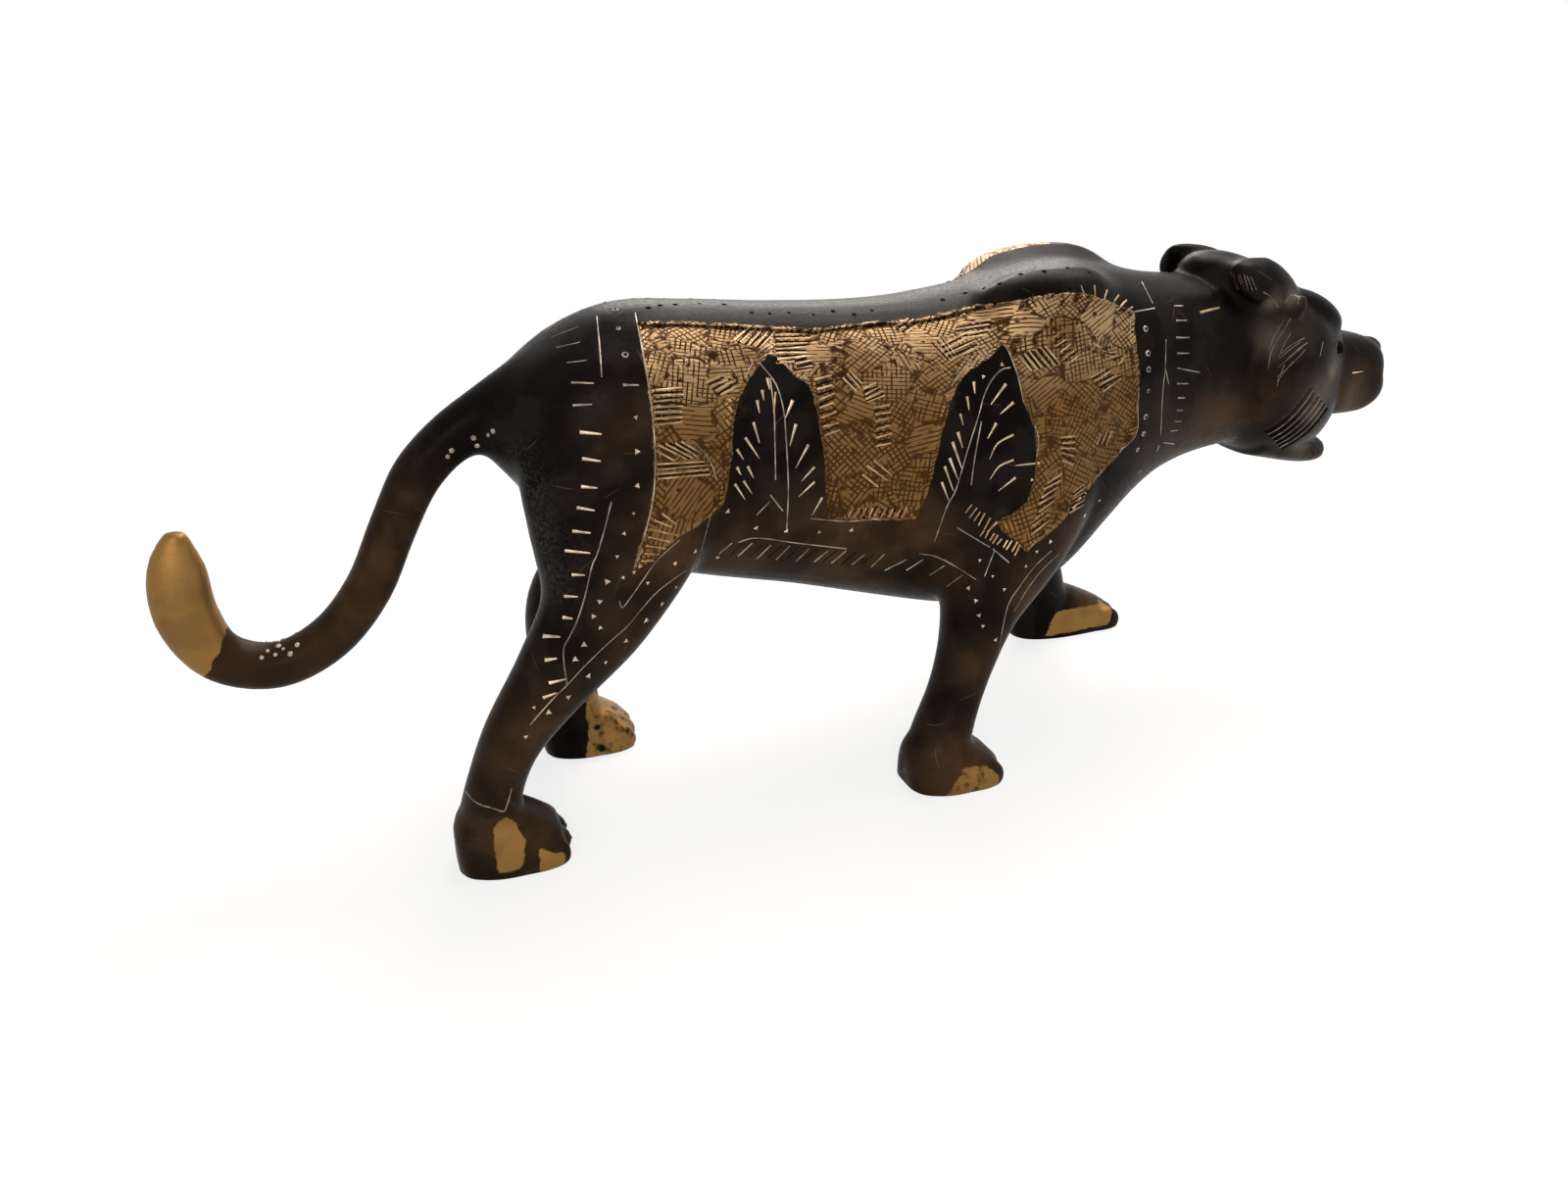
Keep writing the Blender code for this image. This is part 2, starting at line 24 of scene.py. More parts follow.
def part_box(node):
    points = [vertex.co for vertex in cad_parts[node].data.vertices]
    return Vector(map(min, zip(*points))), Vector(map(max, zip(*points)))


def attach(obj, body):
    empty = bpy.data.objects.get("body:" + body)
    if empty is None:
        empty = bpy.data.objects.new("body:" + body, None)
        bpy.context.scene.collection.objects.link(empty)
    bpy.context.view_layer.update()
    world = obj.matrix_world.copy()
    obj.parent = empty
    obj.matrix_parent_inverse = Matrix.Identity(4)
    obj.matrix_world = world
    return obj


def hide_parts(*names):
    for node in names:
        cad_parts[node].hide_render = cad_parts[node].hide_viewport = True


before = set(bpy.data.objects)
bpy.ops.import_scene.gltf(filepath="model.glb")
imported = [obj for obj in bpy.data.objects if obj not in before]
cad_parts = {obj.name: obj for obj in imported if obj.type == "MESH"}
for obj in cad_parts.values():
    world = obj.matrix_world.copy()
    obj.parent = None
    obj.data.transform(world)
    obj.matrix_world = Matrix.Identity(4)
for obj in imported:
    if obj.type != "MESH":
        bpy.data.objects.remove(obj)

LOG = logging.getLogger("leopard")
MM = 0.001
NODE = "leopard_casting"
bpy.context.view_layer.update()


# Sections and outlines of the casting
class Slice(NamedTuple):
    """An upright slice of the trunk or the head: its place along the body and its outline."""

    x: float
    top: float
    bottom: float
    half_width: float


class Ring(NamedTuple):
    """A slice across a limb, ear or tail: its middle, radius fore and aft, and radius sideways."""

    x: float
    y: float
    z: float
    fore: float
    side: float


class Paw(NamedTuple):
    """A paw: its heel and toes along the body, its middle across it, its width and its height."""

    heel: float
    toe: float
    y: float
    width: float
    height: float


class Softening(NamedTuple):
    """Where the file softens the joins: middle, radius and rounds of filing."""

    x: float
    y: float
    z: float
    radius: float
    rounds: int


TRUNK = (
    Slice(-86.0, 90.5, 80.0, 5.0),
    Slice(-82.0, 94.4, 75.0, 11.0),
    Slice(-76.0, 99.6, 68.0, 16.0),
    Slice(-68.0, 104.4, 60.0, 19.5),
    Slice(-57.0, 107.6, 53.0, 21.0),
    Slice(-43.0, 107.0, 48.5, 20.5),
    Slice(-22.0, 105.2, 43.0, 20.0),
    Slice(0.0, 104.5, 36.2, 22.0),
    Slice(18.0, 106.2, 31.6, 24.0),
    Slice(34.0, 109.0, 31.0, 24.5),
    Slice(45.0, 110.0, 35.5, 23.4),
    Slice(54.0, 109.0, 44.0, 21.8),
    Slice(62.0, 107.4, 51.5, 20.0),
    Slice(70.0, 106.0, 56.8, 18.2),
    Slice(79.0, 105.0, 60.0, 16.6),
    Slice(88.0, 103.6, 61.6, 15.4),
    Slice(98.0, 100.0, 62.4, 14.0),
    Slice(106.0, 96.0, 62.6, 13.0),
)
TRUNK_WIDEST = 0.54  # how far up a slice of the trunk its widest level lies
TRUNK_FULLNESS = 2.35

SKULL = (
    Slice(82.0, 107.0, 84.0, 8.0),
    Slice(89.0, 109.8, 82.0, 12.0),
    Slice(98.0, 107.8, 74.0, 14.4),
    Slice(107.0, 103.2, 64.0, 15.5),
    Slice(115.0, 98.4, 60.0, 14.5),
    Slice(121.0, 94.6, 63.0, 12.0),
    Slice(125.6, 90.4, 68.0, 9.0),
)
MUZZLE = (
    Slice(108.0, 89.6, 68.0, 11.5),
    Slice(120.0, 89.3, 67.0, 10.8),
    Slice(128.0, 88.2, 66.4, 9.9),
    Slice(135.0, 87.2, 66.2, 9.3),
    Slice(140.0, 85.8, 66.6, 8.6),
    Slice(143.2, 83.6, 68.8, 7.2),
    Slice(145.0, 80.4, 72.6, 4.6),
)
JAW = (
    Slice(102.0, 68.0, 59.0, 12.5),
    Slice(112.0, 64.0, 56.6, 11.5),
    Slice(119.0, 62.0, 55.0, 10.0),
    Slice(125.0, 61.0, 54.2, 8.4),
    Slice(129.0, 60.4, 54.2, 6.2),
    Slice(131.2, 59.0, 55.6, 3.2),
)
HEAD_FULLNESS = 2.3
MUZZLE_FULLNESS = 3.0
MUZZLE_WIDEST = 0.42

# The face with its cheek ruff, which stands proud of the neck behind and ends bluntly in front
FACE = (
    Slice(91.5, 92.0, 73.0, 15.0),
    Slice(92.6, 94.6, 70.0, 17.8),
    Slice(95.0, 98.2, 66.0, 19.6),
    Slice(99.5, 101.6, 61.4, 20.4),
    Slice(105.0, 102.6, 59.0, 20.0),
    Slice(111.0, 101.4, 57.8, 18.8),
    Slice(116.0, 99.2, 57.4, 17.0),
    Slice(120.0, 97.2, 58.2, 15.0),
    Slice(123.4, 94.4, 60.0, 12.6),
    Slice(125.6, 91.4, 62.6, 9.8),
)
FACE_FULLNESS = 2.2

# Smaller masses and hollows of the face, each a middle and radii, some tipped nose down by so many
# degrees: those off the middle line come in pairs
CROWN = ((92.6, 0.0, 103.2), (12.0, 10.6, 6.0), 16.0)
EAR_HOLLOW = ((94.6, 17.6, 97.6), (5.2, 4.6, 3.4), 34.0)
RUFF_KNOB = ((101.4, 16.0, 98.2), (1.9, 1.8, 3.2), 20.0)
BROW_RIDGE = ((113.6, 7.4, 94.8), (10.8, 6.2, 4.6), 26.0)
WHISKER_PAD = ((137.5, 4.9, 73.8), (7.2, 5.0, 6.4))
NOSE_PAD = ((143.6, 0.0, 82.4), (2.6, 4.2, 2.8))
MOUTH = ((126.0, 0.0, 63.8), (15.0, 10.4, 3.9))
EYE_SOCKET = ((119.4, 14.4, 86.6), (3.4, 2.2, 2.0))
NOSTRIL = ((145.6, 1.9, 81.4), (1.5, 0.9, 0.8))

# The tail from its root to its tip, and a lump on its upper side
TAIL = (
    Ring(-68.0, 0.0, 90.0, 13.0, 9.0),
    Ring(-77.0, 0.0, 89.6, 9.0, 7.4),
    Ring(-85.0, 0.0, 87.4, 6.4, 6.0),
    Ring(-92.5, 0.0, 83.4, 5.2, 5.2),
    Ring(-99.2, 0.0, 77.0, 4.9, 4.9),
    Ring(-105.0, 0.0, 67.0, 4.6, 4.7),
    Ring(-111.2, 0.0, 55.0, 4.6, 4.7),
    Ring(-119.6, 0.0, 45.8, 4.6, 4.7),
    Ring(-130.0, 0.0, 41.6, 4.6, 4.7),
    Ring(-139.8, 0.0, 45.2, 5.0, 4.8),
    Ring(-144.1, 0.0, 54.6, 5.7, 4.6),
    Ring(-144.0, 0.0, 64.6, 5.0, 3.6),
    Ring(-142.8, 0.0, 71.6, 1.8, 1.5),
)
TAIL_LUMP = ((-95.5, 0.0, 77.8), (3.2, 3.0, 2.6))

# Each leg from the shoulder blade or hip down to the ankle
NEAR_HIND_LEG = (
    Ring(-56.0, -10.0, 102.0, 4.0, 3.5),
    Ring(-57.0, -11.0, 96.5, 14.0, 8.5),
    Ring(-59.0, -11.8, 87.0, 20.0, 10.6),
    Ring(-61.3, -12.4, 74.0, 20.8, 11.6),
    Ring(-64.4, -13.8, 61.0, 17.4, 11.0),
    Ring(-69.5, -15.6, 49.0, 12.0, 9.4),
    Ring(-78.8, -17.4, 38.0, 8.4, 8.0),
    Ring(-88.2, -18.9, 27.0, 6.2, 7.0),
    Ring(-93.0, -19.8, 17.5, 5.7, 6.5),
    Ring(-95.0, -20.0, 9.0, 6.4, 7.4),
    Ring(-95.0, -20.0, 2.0, 7.0, 7.8),
)
FAR_HIND_LEG = (
    Ring(-54.0, 10.0, 102.0, 4.0, 3.5),
    Ring(-55.0, 11.0, 96.5, 14.0, 8.5),
    Ring(-57.0, 11.8, 87.0, 20.0, 10.6),
    Ring(-57.0, 12.4, 74.0, 18.6, 11.6),
    Ring(-58.0, 14.0, 61.0, 14.0, 10.6),
    Ring(-62.0, 15.8, 49.0, 10.6, 9.0),
    Ring(-68.8, 17.2, 37.0, 9.4, 7.8),
    Ring(-71.0, 18.0, 26.0, 7.6, 7.0),
    Ring(-70.0, 18.5, 16.0, 6.6, 6.6),
    Ring(-69.6, 18.5, 8.0, 7.0, 7.2),
    Ring(-69.6, 18.5, 2.0, 7.2, 7.4),
)
NEAR_FORE_LEG = (
    Ring(36.0, -7.2, 108.8, 10.0, 5.0),
    Ring(36.0, -9.4, 105.6, 17.0, 8.8),
    Ring(35.5, -11.8, 99.0, 18.0, 9.4),
    Ring(34.5, -12.8, 91.0, 17.5, 9.8),
    Ring(34.5, -13.4, 81.0, 18.5, 11.0),
    Ring(33.0, -15.2, 66.0, 16.6, 11.0),
    Ring(25.6, -18.4, 52.0, 14.2, 10.2),
    Ring(17.4, -21.6, 40.0, 10.0, 8.8),
    Ring(13.2, -23.8, 29.5, 7.0, 7.4),
    Ring(9.2, -25.6, 19.0, 6.0, 6.8),
    Ring(5.4, -27.2, 9.5, 6.8, 7.4),
    Ring(4.8, -27.5, 2.0, 7.4, 8.0),
)
FAR_FORE_LEG = (
    Ring(47.0, 6.6, 109.8, 11.0, 5.0),
    Ring(47.0, 8.8, 106.8, 19.5, 9.0),
    Ring(46.0, 11.6, 100.0, 21.0, 9.8),
    Ring(45.5, 12.8, 91.0, 18.0, 10.0),
    Ring(44.5, 13.4, 81.0, 17.0, 11.0),
    Ring(43.0, 15.4, 66.0, 14.5, 10.8),
    Ring(46.5, 18.8, 51.0, 12.4, 9.8),
    Ring(53.0, 22.0, 39.0, 10.2, 8.6),
    Ring(60.0, 25.2, 28.0, 8.6, 7.6),
    Ring(66.0, 28.0, 17.5, 7.6, 7.2),
    Ring(68.8, 29.8, 9.0, 7.8, 7.8),
    Ring(69.2, 30.2, 2.0, 8.0, 8.2),
)

# The paws, hind ones first and the near one of each two first
PAWS = (
    Paw(-102.6, -79.0, -20.0, 19.0, 15.0),
    Paw(-77.0, -54.6, 18.5, 18.5, 13.5),
    Paw(-3.6, 19.6, -27.8, 19.0, 13.5),
    Paw(60.5, 95.0, 30.8, 18.5, 14.5),
)
PAW_SHAPE = (  # along a paw: share of its length, of its height and of its half width
    (0.0, 0.55, 0.35), (0.08, 0.8, 0.7), (0.3, 1.0, 0.95),
    (0.55, 0.82, 1.0), (0.78, 0.56, 0.96), (0.9, 0.4, 0.8),
)
TOES = 4
TOE_RADII = (6.5, 2.7, 4.6)
TOE_SETBACK = 0.5  # how far the outer toes stand back
TOE_OVERLAP = 0.4  # how far each toe swells into its neighbours
TOE_LEVEL = 1.6

# The flap of an ear from its tip forward, on the animal's left
EAR = (
    Ring(84.2, 12.4, 106.2, 1.5, 3.2),
    Ring(86.0, 12.3, 106.2, 2.2, 4.8),
    Ring(91.0, 11.8, 105.0, 2.8, 5.8),
    Ring(97.0, 10.8, 102.8, 3.6, 6.2),
    Ring(103.0, 9.2, 98.6, 3.9, 5.4),
    Ring(109.0, 6.4, 93.0, 2.8, 3.6),
)
EAR_SLOPE = 54.0  # degrees that an ear's flap falls outwards

# The sunk gold ground on each flank, seen from the side, as x and z along its edge
PANEL_DEPTH = 0.5
PANEL_REAR = (
    (-63.2, 61.7), (-61.4, 66.1), (-59.7, 70.0), (-58.0, 76.6), (-57.3, 83.2), (-57.2, 90.1),
    (-57.1, 100.8),
)
PANEL_TOP = (
    (-55.7, 105.0), (-48.4, 104.6), (-41.7, 103.8), (-29.5, 102.3), (-20.7, 101.2), (-6.6, 101.5),
    (1.5, 101.3), (9.4, 102.0), (17.1, 103.4), (24.0, 105.0), (31.0, 106.0), (38.6, 105.8), (43.7, 104.0),
    (49.0, 102.2),
)
PANEL_FRONT = (
    (53.7, 100.5), (52.6, 97.1), (53.2, 90.9), (53.9, 81.1), (54.4, 74.4), (48.7, 69.6), (40.9, 64.3),
    (32.5, 58.3), (27.4, 55.6), (23.6, 53.6), (20.0, 56.8),
)

# The two leaves left standing in the ground, each up its front edge and down its rear edge
FRONT_LEAF = (
    (17.5, 59.4), (20.9, 60.8), (24.5, 63.4), (26.6, 68.9), (26.9, 75.5), (25.8, 80.4), (23.6, 84.6),
    (22.5, 90.2), (21.4, 94.7), (19.9, 97.2), (16.6, 94.9), (11.3, 92.6), (8.5, 90.4), (6.4, 87.2),
    (4.9, 83.2), (3.9, 79.6), (3.2, 75.9), (2.3, 71.1), (0.9, 66.1), (-0.7, 61.6),
)
REAR_LEAF = (
    (-19.4, 63.4), (-20.4, 70.9), (-21.0, 78.3), (-22.0, 83.6), (-22.8, 89.8), (-23.7, 92.3),
    (-26.7, 94.5), (-28.8, 97.2), (-30.8, 99.3), (-34.2, 96.9), (-37.1, 94.4), (-39.9, 90.4),
    (-41.3, 85.7), (-41.5, 80.8), (-42.4, 75.1), (-43.5, 70.2),
)
PANEL_LOW_REAR = ((-45.4, 68.8), (-49.0, 67.3), (-53.5, 66.1), (-57.3, 64.3), (-60.2, 62.4))

# Where the far ground reaches up to the spine, seen from the side
FAR_TOP = ((-41.0, 98.0), (-37.0, 112.0), (49.0, 112.0), (51.0, 98.0))

# The grooves carved across each cheek
GROOVES = 6
GROOVE_PITCH = 2.3
GROOVE_WIDTH = 1.35
GROOVE_LENGTH = 13.5
GROOVE_DEPTH = 0.9
GROOVE_ANGLE = 56.0
GROOVE_MIDDLE = (107.0, 70.6)  # x and z of the middle of the row

# Where the skin is eased after the weld, and how often
SOFTENINGS = (
    Softening(0.0, 0.0, 60.0, 400.0, 2),
    Softening(-60.0, 0.0, 80.0, 44.0, 30),
    Softening(36.0, 0.0, 84.0, 40.0, 24),
    Softening(10.0, -4.0, 38.0, 28.0, 40),
    Softening(50.0, 0.0, 40.0, 24.0, 20),
    Softening(-62.0, 0.0, 46.0, 24.0, 14),
    Softening(-82.0, 0.0, 90.0, 12.0, 10),
    Softening(44.0, 2.0, 108.0, 34.0, 60),
    Softening(88.0, -11.0, 107.0, 8.0, 40),
    Softening(102.0, 0.0, 106.0, 12.0, 10),
    Softening(118.0, 0.0, 92.0, 12.0, 8),
)

# What the side cutters reach across the body, and how far beyond an outline its skin is sunk
CUTTER_INNER = 5.0
CUTTER_OUTER = 45.0
SKIN_MARGIN = 6.0

# How finely masses are laid, and how full limbs and paws are
HULL_SIDES = 40
LIMB_SIDES = 28
BALL_SEGMENTS = 32
BALL_RINGS = 20
LIMB_FULLNESS = 2.1
PAW_FULLNESS = 2.5


# Mesh helpers
def remove(thing: bpy.types.Object) -> None:
    """Delete an object and forget it."""
    bpy.data.objects.remove(thing)


def as_object(name: str, bm: bmesh.types.BMesh) -> bpy.types.Object:
    """Turn a bmesh into an object of the scene.

    Args:
        name: the new object's name.
        bm: the mesh, which is freed.

    Returns:
        The new object, at the origin.
    """
    mesh = bpy.data.meshes.new(name)
    bm.to_mesh(mesh)
    bm.free()
    thing = bpy.data.objects.new(name, mesh)
    bpy.context.scene.collection.objects.link(thing)
    return thing


def apply_modifiers(thing: bpy.types.Object) -> None:
    """Make what the modifiers show the object's own mesh."""
    graph = bpy.context.evaluated_depsgraph_get()
    thing.data = bpy.data.meshes.new_from_object(thing.evaluated_get(graph))
    thing.modifiers.clear()


def vertex_array(mesh: bpy.types.Mesh, what: str = "co") -> np.ndarray:
    """One row for each vertex of a mesh.

    Args:
        mesh: the mesh.
        what: "co" for places or "normal" for normals.

    Returns:
        The rows, in metres for places.
    """
    flat = np.empty(len(mesh.vertices) * 3)
    mesh.vertices.foreach_get(what, flat)
    return flat.reshape(-1, 3)


def give_measure(mesh: bpy.types.Mesh, name: str, values: Sequence, kind: str = "FLOAT") -> None:
    """Give the points of a mesh a measure."""
    layer = mesh.attributes.new(name, kind, "POINT")
    field_name = "value" if kind == "FLOAT" else "vector"
    layer.data.foreach_set(field_name, np.array(values, dtype=float).ravel())


def smooth_between(a: Sequence[float], b: Sequence[float], c: Sequence[float], d: Sequence[float],
                   t: float) -> tuple[float, ...]:
    """The point a share t of the way from b to c on a smooth curve through a, b, c and d."""
    return tuple(
        0.5 * (2 * q + (r - p) * t + (2 * p - 5 * q + 4 * r - s) * t * t + (3 * q - p - 3 * r + s) * t**3)
        for p, q, r, s in zip(a, b, c, d)
    )


def refine(stations: Sequence, spans: int = 5) -> list:
    """Put more stations between each pair, on a smooth curve.

    Args:
        stations: named tuples of one kind.
        spans: stretches that each gap is split into.

    Returns:
        The longer list, of the same kind.
    """
    kind = type(stations[0])
    fine = []
    last = len(stations) - 1
    for index in range(last):
        before = stations[max(index - 1, 0)]
        after = stations[min(index + 2, last)]
        for step in range(spans):
            place = smooth_between(before, stations[index], stations[index + 1], after, step / spans)
            fine.append(kind(*place))
    fine.append(stations[last])
    return fine


def oval(sides: int, fullness: float) -> Iterator[tuple[float, float]]:
    """The two factors of each point of a ring: an ellipse at fullness 2, and squarer above that."""
    for k in range(sides):
        angle = 2 * math.pi * k / sides
        c, s = math.cos(angle), math.sin(angle)
        yield math.copysign(abs(c) ** (2 / fullness), c), math.copysign(abs(s) ** (2 / fullness), s)


def loft(name: str, rings: Sequence[Sequence[Vector]]) -> bpy.types.Object:
    """A closed tube of quads through rings of equally many points."""
    bm = bmesh.new()
    rows = [[bm.verts.new(point * MM) for point in ring] for ring in rings]
    sides = len(rings[0])
    for near, far in zip(rows, rows[1:]):
        for k in range(sides):
            bm.faces.new((near[k], near[(k + 1) % sides], far[(k + 1) % sides], far[k]))
    bm.faces.new(rows[0][::-1])
    bm.faces.new(rows[-1])
    bmesh.ops.recalc_face_normals(bm, faces=bm.faces)
    return as_object(name, bm)


def hull(name: str, slices: Sequence[Slice], fullness: float, widest: float = 0.5,
         middle: float = 0.0) -> bpy.types.Object:
    """A mass from upright slices.

    Args:
        name: the mass.
        slices: its slices from back to front.
        fullness: 2 for ellipses, more for squarer ones.
        widest: the share of its height where a slice is widest.
        middle: how far the mass stands to the left of the middle plane.

    Returns:
        The mass as a closed mesh.
    """
    rings = []
    for cut in refine(slices):
        level = cut.bottom + widest * (cut.top - cut.bottom)
        ring = []
        for u, v in oval(HULL_SIDES, fullness):
            height = (cut.top - level) if v > 0 else (level - cut.bottom)
            ring.append(Vector((cut.x, middle + cut.half_width * u, level + height * v)))
        rings.append(ring)
    return loft(name, rings)


def limb(name: str, stations: Sequence[Ring], roll: float = 0.0) -> bpy.types.Object:
    """A mass whose slices stand square to a curved middle line.

    Args:
        name: the mass.
        stations: its slices along the line.
        roll: degrees that the slices are turned about the line.

    Returns:
        The mass as a closed mesh.
    """
    fine = refine(stations)
    rings = []
    for index, cut in enumerate(fine):
        centre = Vector(cut[:3])
        before, after = fine[max(index - 1, 0)], fine[min(index + 1, len(fine) - 1)]
        along = (Vector(after[:3]) - Vector(before[:3])).normalized()
        side = Vector((0, 1, 0))
        side = (side - along * side.dot(along)).normalized()
        side.rotate(Matrix.Rotation(math.radians(roll), 3, along))
        fore = along.cross(side)
        points = oval(LIMB_SIDES, LIMB_FULLNESS)
        rings.append([centre + fore * cut.fore * u + side * cut.side * v for u, v in points])
    return loft(name, rings)


def ball(name: str, centre: Sequence[float], radii: Sequence[float],
         pitch: float = 0.0) -> bpy.types.Object:
    """An ellipsoid at centre, tipped nose down by pitch degrees."""
    bm = bmesh.new()
    bmesh.ops.create_uvsphere(bm, u_segments=BALL_SEGMENTS, v_segments=BALL_RINGS, radius=1.0)
    bmesh.ops.scale(bm, vec=Vector(radii) * MM, verts=bm.verts)
    bmesh.ops.rotate(bm, verts=bm.verts, matrix=Matrix.Rotation(math.radians(pitch), 3, "Y"))
    bmesh.ops.translate(bm, vec=Vector(centre) * MM, verts=bm.verts)
    return as_object(name, bm)


def pair(name: str, mass: tuple) -> list[bpy.types.Object]:
    """A ball on each side of the head, or one where its middle is on the middle plane."""
    (x, y, z), *shape = mass
    sides = (-1, 1) if y else (1,)
    return [ball(name, (x, side * y, z), *shape) for side in sides]


def join(name: str, things: Iterable[bpy.types.Object]) -> bpy.types.Object:
    """One object that holds the meshes of several, still overlapping."""
    bm = bmesh.new()
    things = list(things)
    for thing in things:
        bm.from_mesh(thing.data)
    whole = as_object(name, bm)
    for thing in things:
        remove(thing)
    return whole


def subtract(thing: bpy.types.Object, cutter: bpy.types.Object) -> None:
    """Cut one closed mesh from another, and remove the cutter."""
    cut = thing.modifiers.new("cut", "BOOLEAN")
    cut.operation = "DIFFERENCE"
    cut.solver = "EXACT"
    cut.object = cutter
    apply_modifiers(thing)
    remove(cutter)


def panel_outline() -> tuple[tuple[float, float], ...]:
    """The edge of the sunk ground, round both leaves, as x and z."""
    return PANEL_REAR + PANEL_TOP + PANEL_FRONT + FRONT_LEAF + REAR_LEAF + PANEL_LOW_REAR


def groove_outlines() -> Iterator[list[tuple[float, float]]]:
    """The edges of the cheek grooves: slanting bars side by side, as x and z."""
    angle = math.radians(GROOVE_ANGLE)
    along = Vector((math.cos(angle), math.sin(angle))) * GROOVE_LENGTH / 2
    across = Vector((math.sin(angle), -math.cos(angle)))
    for k in range(GROOVES):
        middle = Vector(GROOVE_MIDDLE) + across * GROOVE_PITCH * (k - (GROOVES - 1) / 2)
        half = across * GROOVE_WIDTH / 2
        low, high = middle - along, middle + along
        yield [tuple(corner) for corner in (low - half, high - half, high + half, low + half)]


def signed_distance(points: np.ndarray, outline: Sequence[tuple[float, float]]) -> np.ndarray:
    """How deep points lie inside a closed outline.

    Args:
        points: one row of x and z for each point.
        outline: its corners in order.

    Returns:
        The distance to the nearest edge, negative outside.
    """
    corners = np.array(outline)
    best = np.full(len(points), np.inf)
    inside = np.zeros(len(points), dtype=bool)
    for start, stop in zip(corners, np.roll(corners, -1, axis=0)):
        edge = stop - start
        share = np.clip(((points - start) @ edge) / max(edge @ edge, 1e-9), 0, 1)
        best = np.minimum(best, np.linalg.norm(points - start - share[:, None] * edge, axis=1))
        crosses = (start[1] > points[:, 1]) != (stop[1] > points[:, 1])
        level = np.where(crosses, (points[:, 1] - start[1]) / (edge[1] if edge[1] else 1e-9), 0)
        inside ^= crosses & (points[:, 0] < start[0] + level * edge[0])
    return np.where(inside, best, -best)


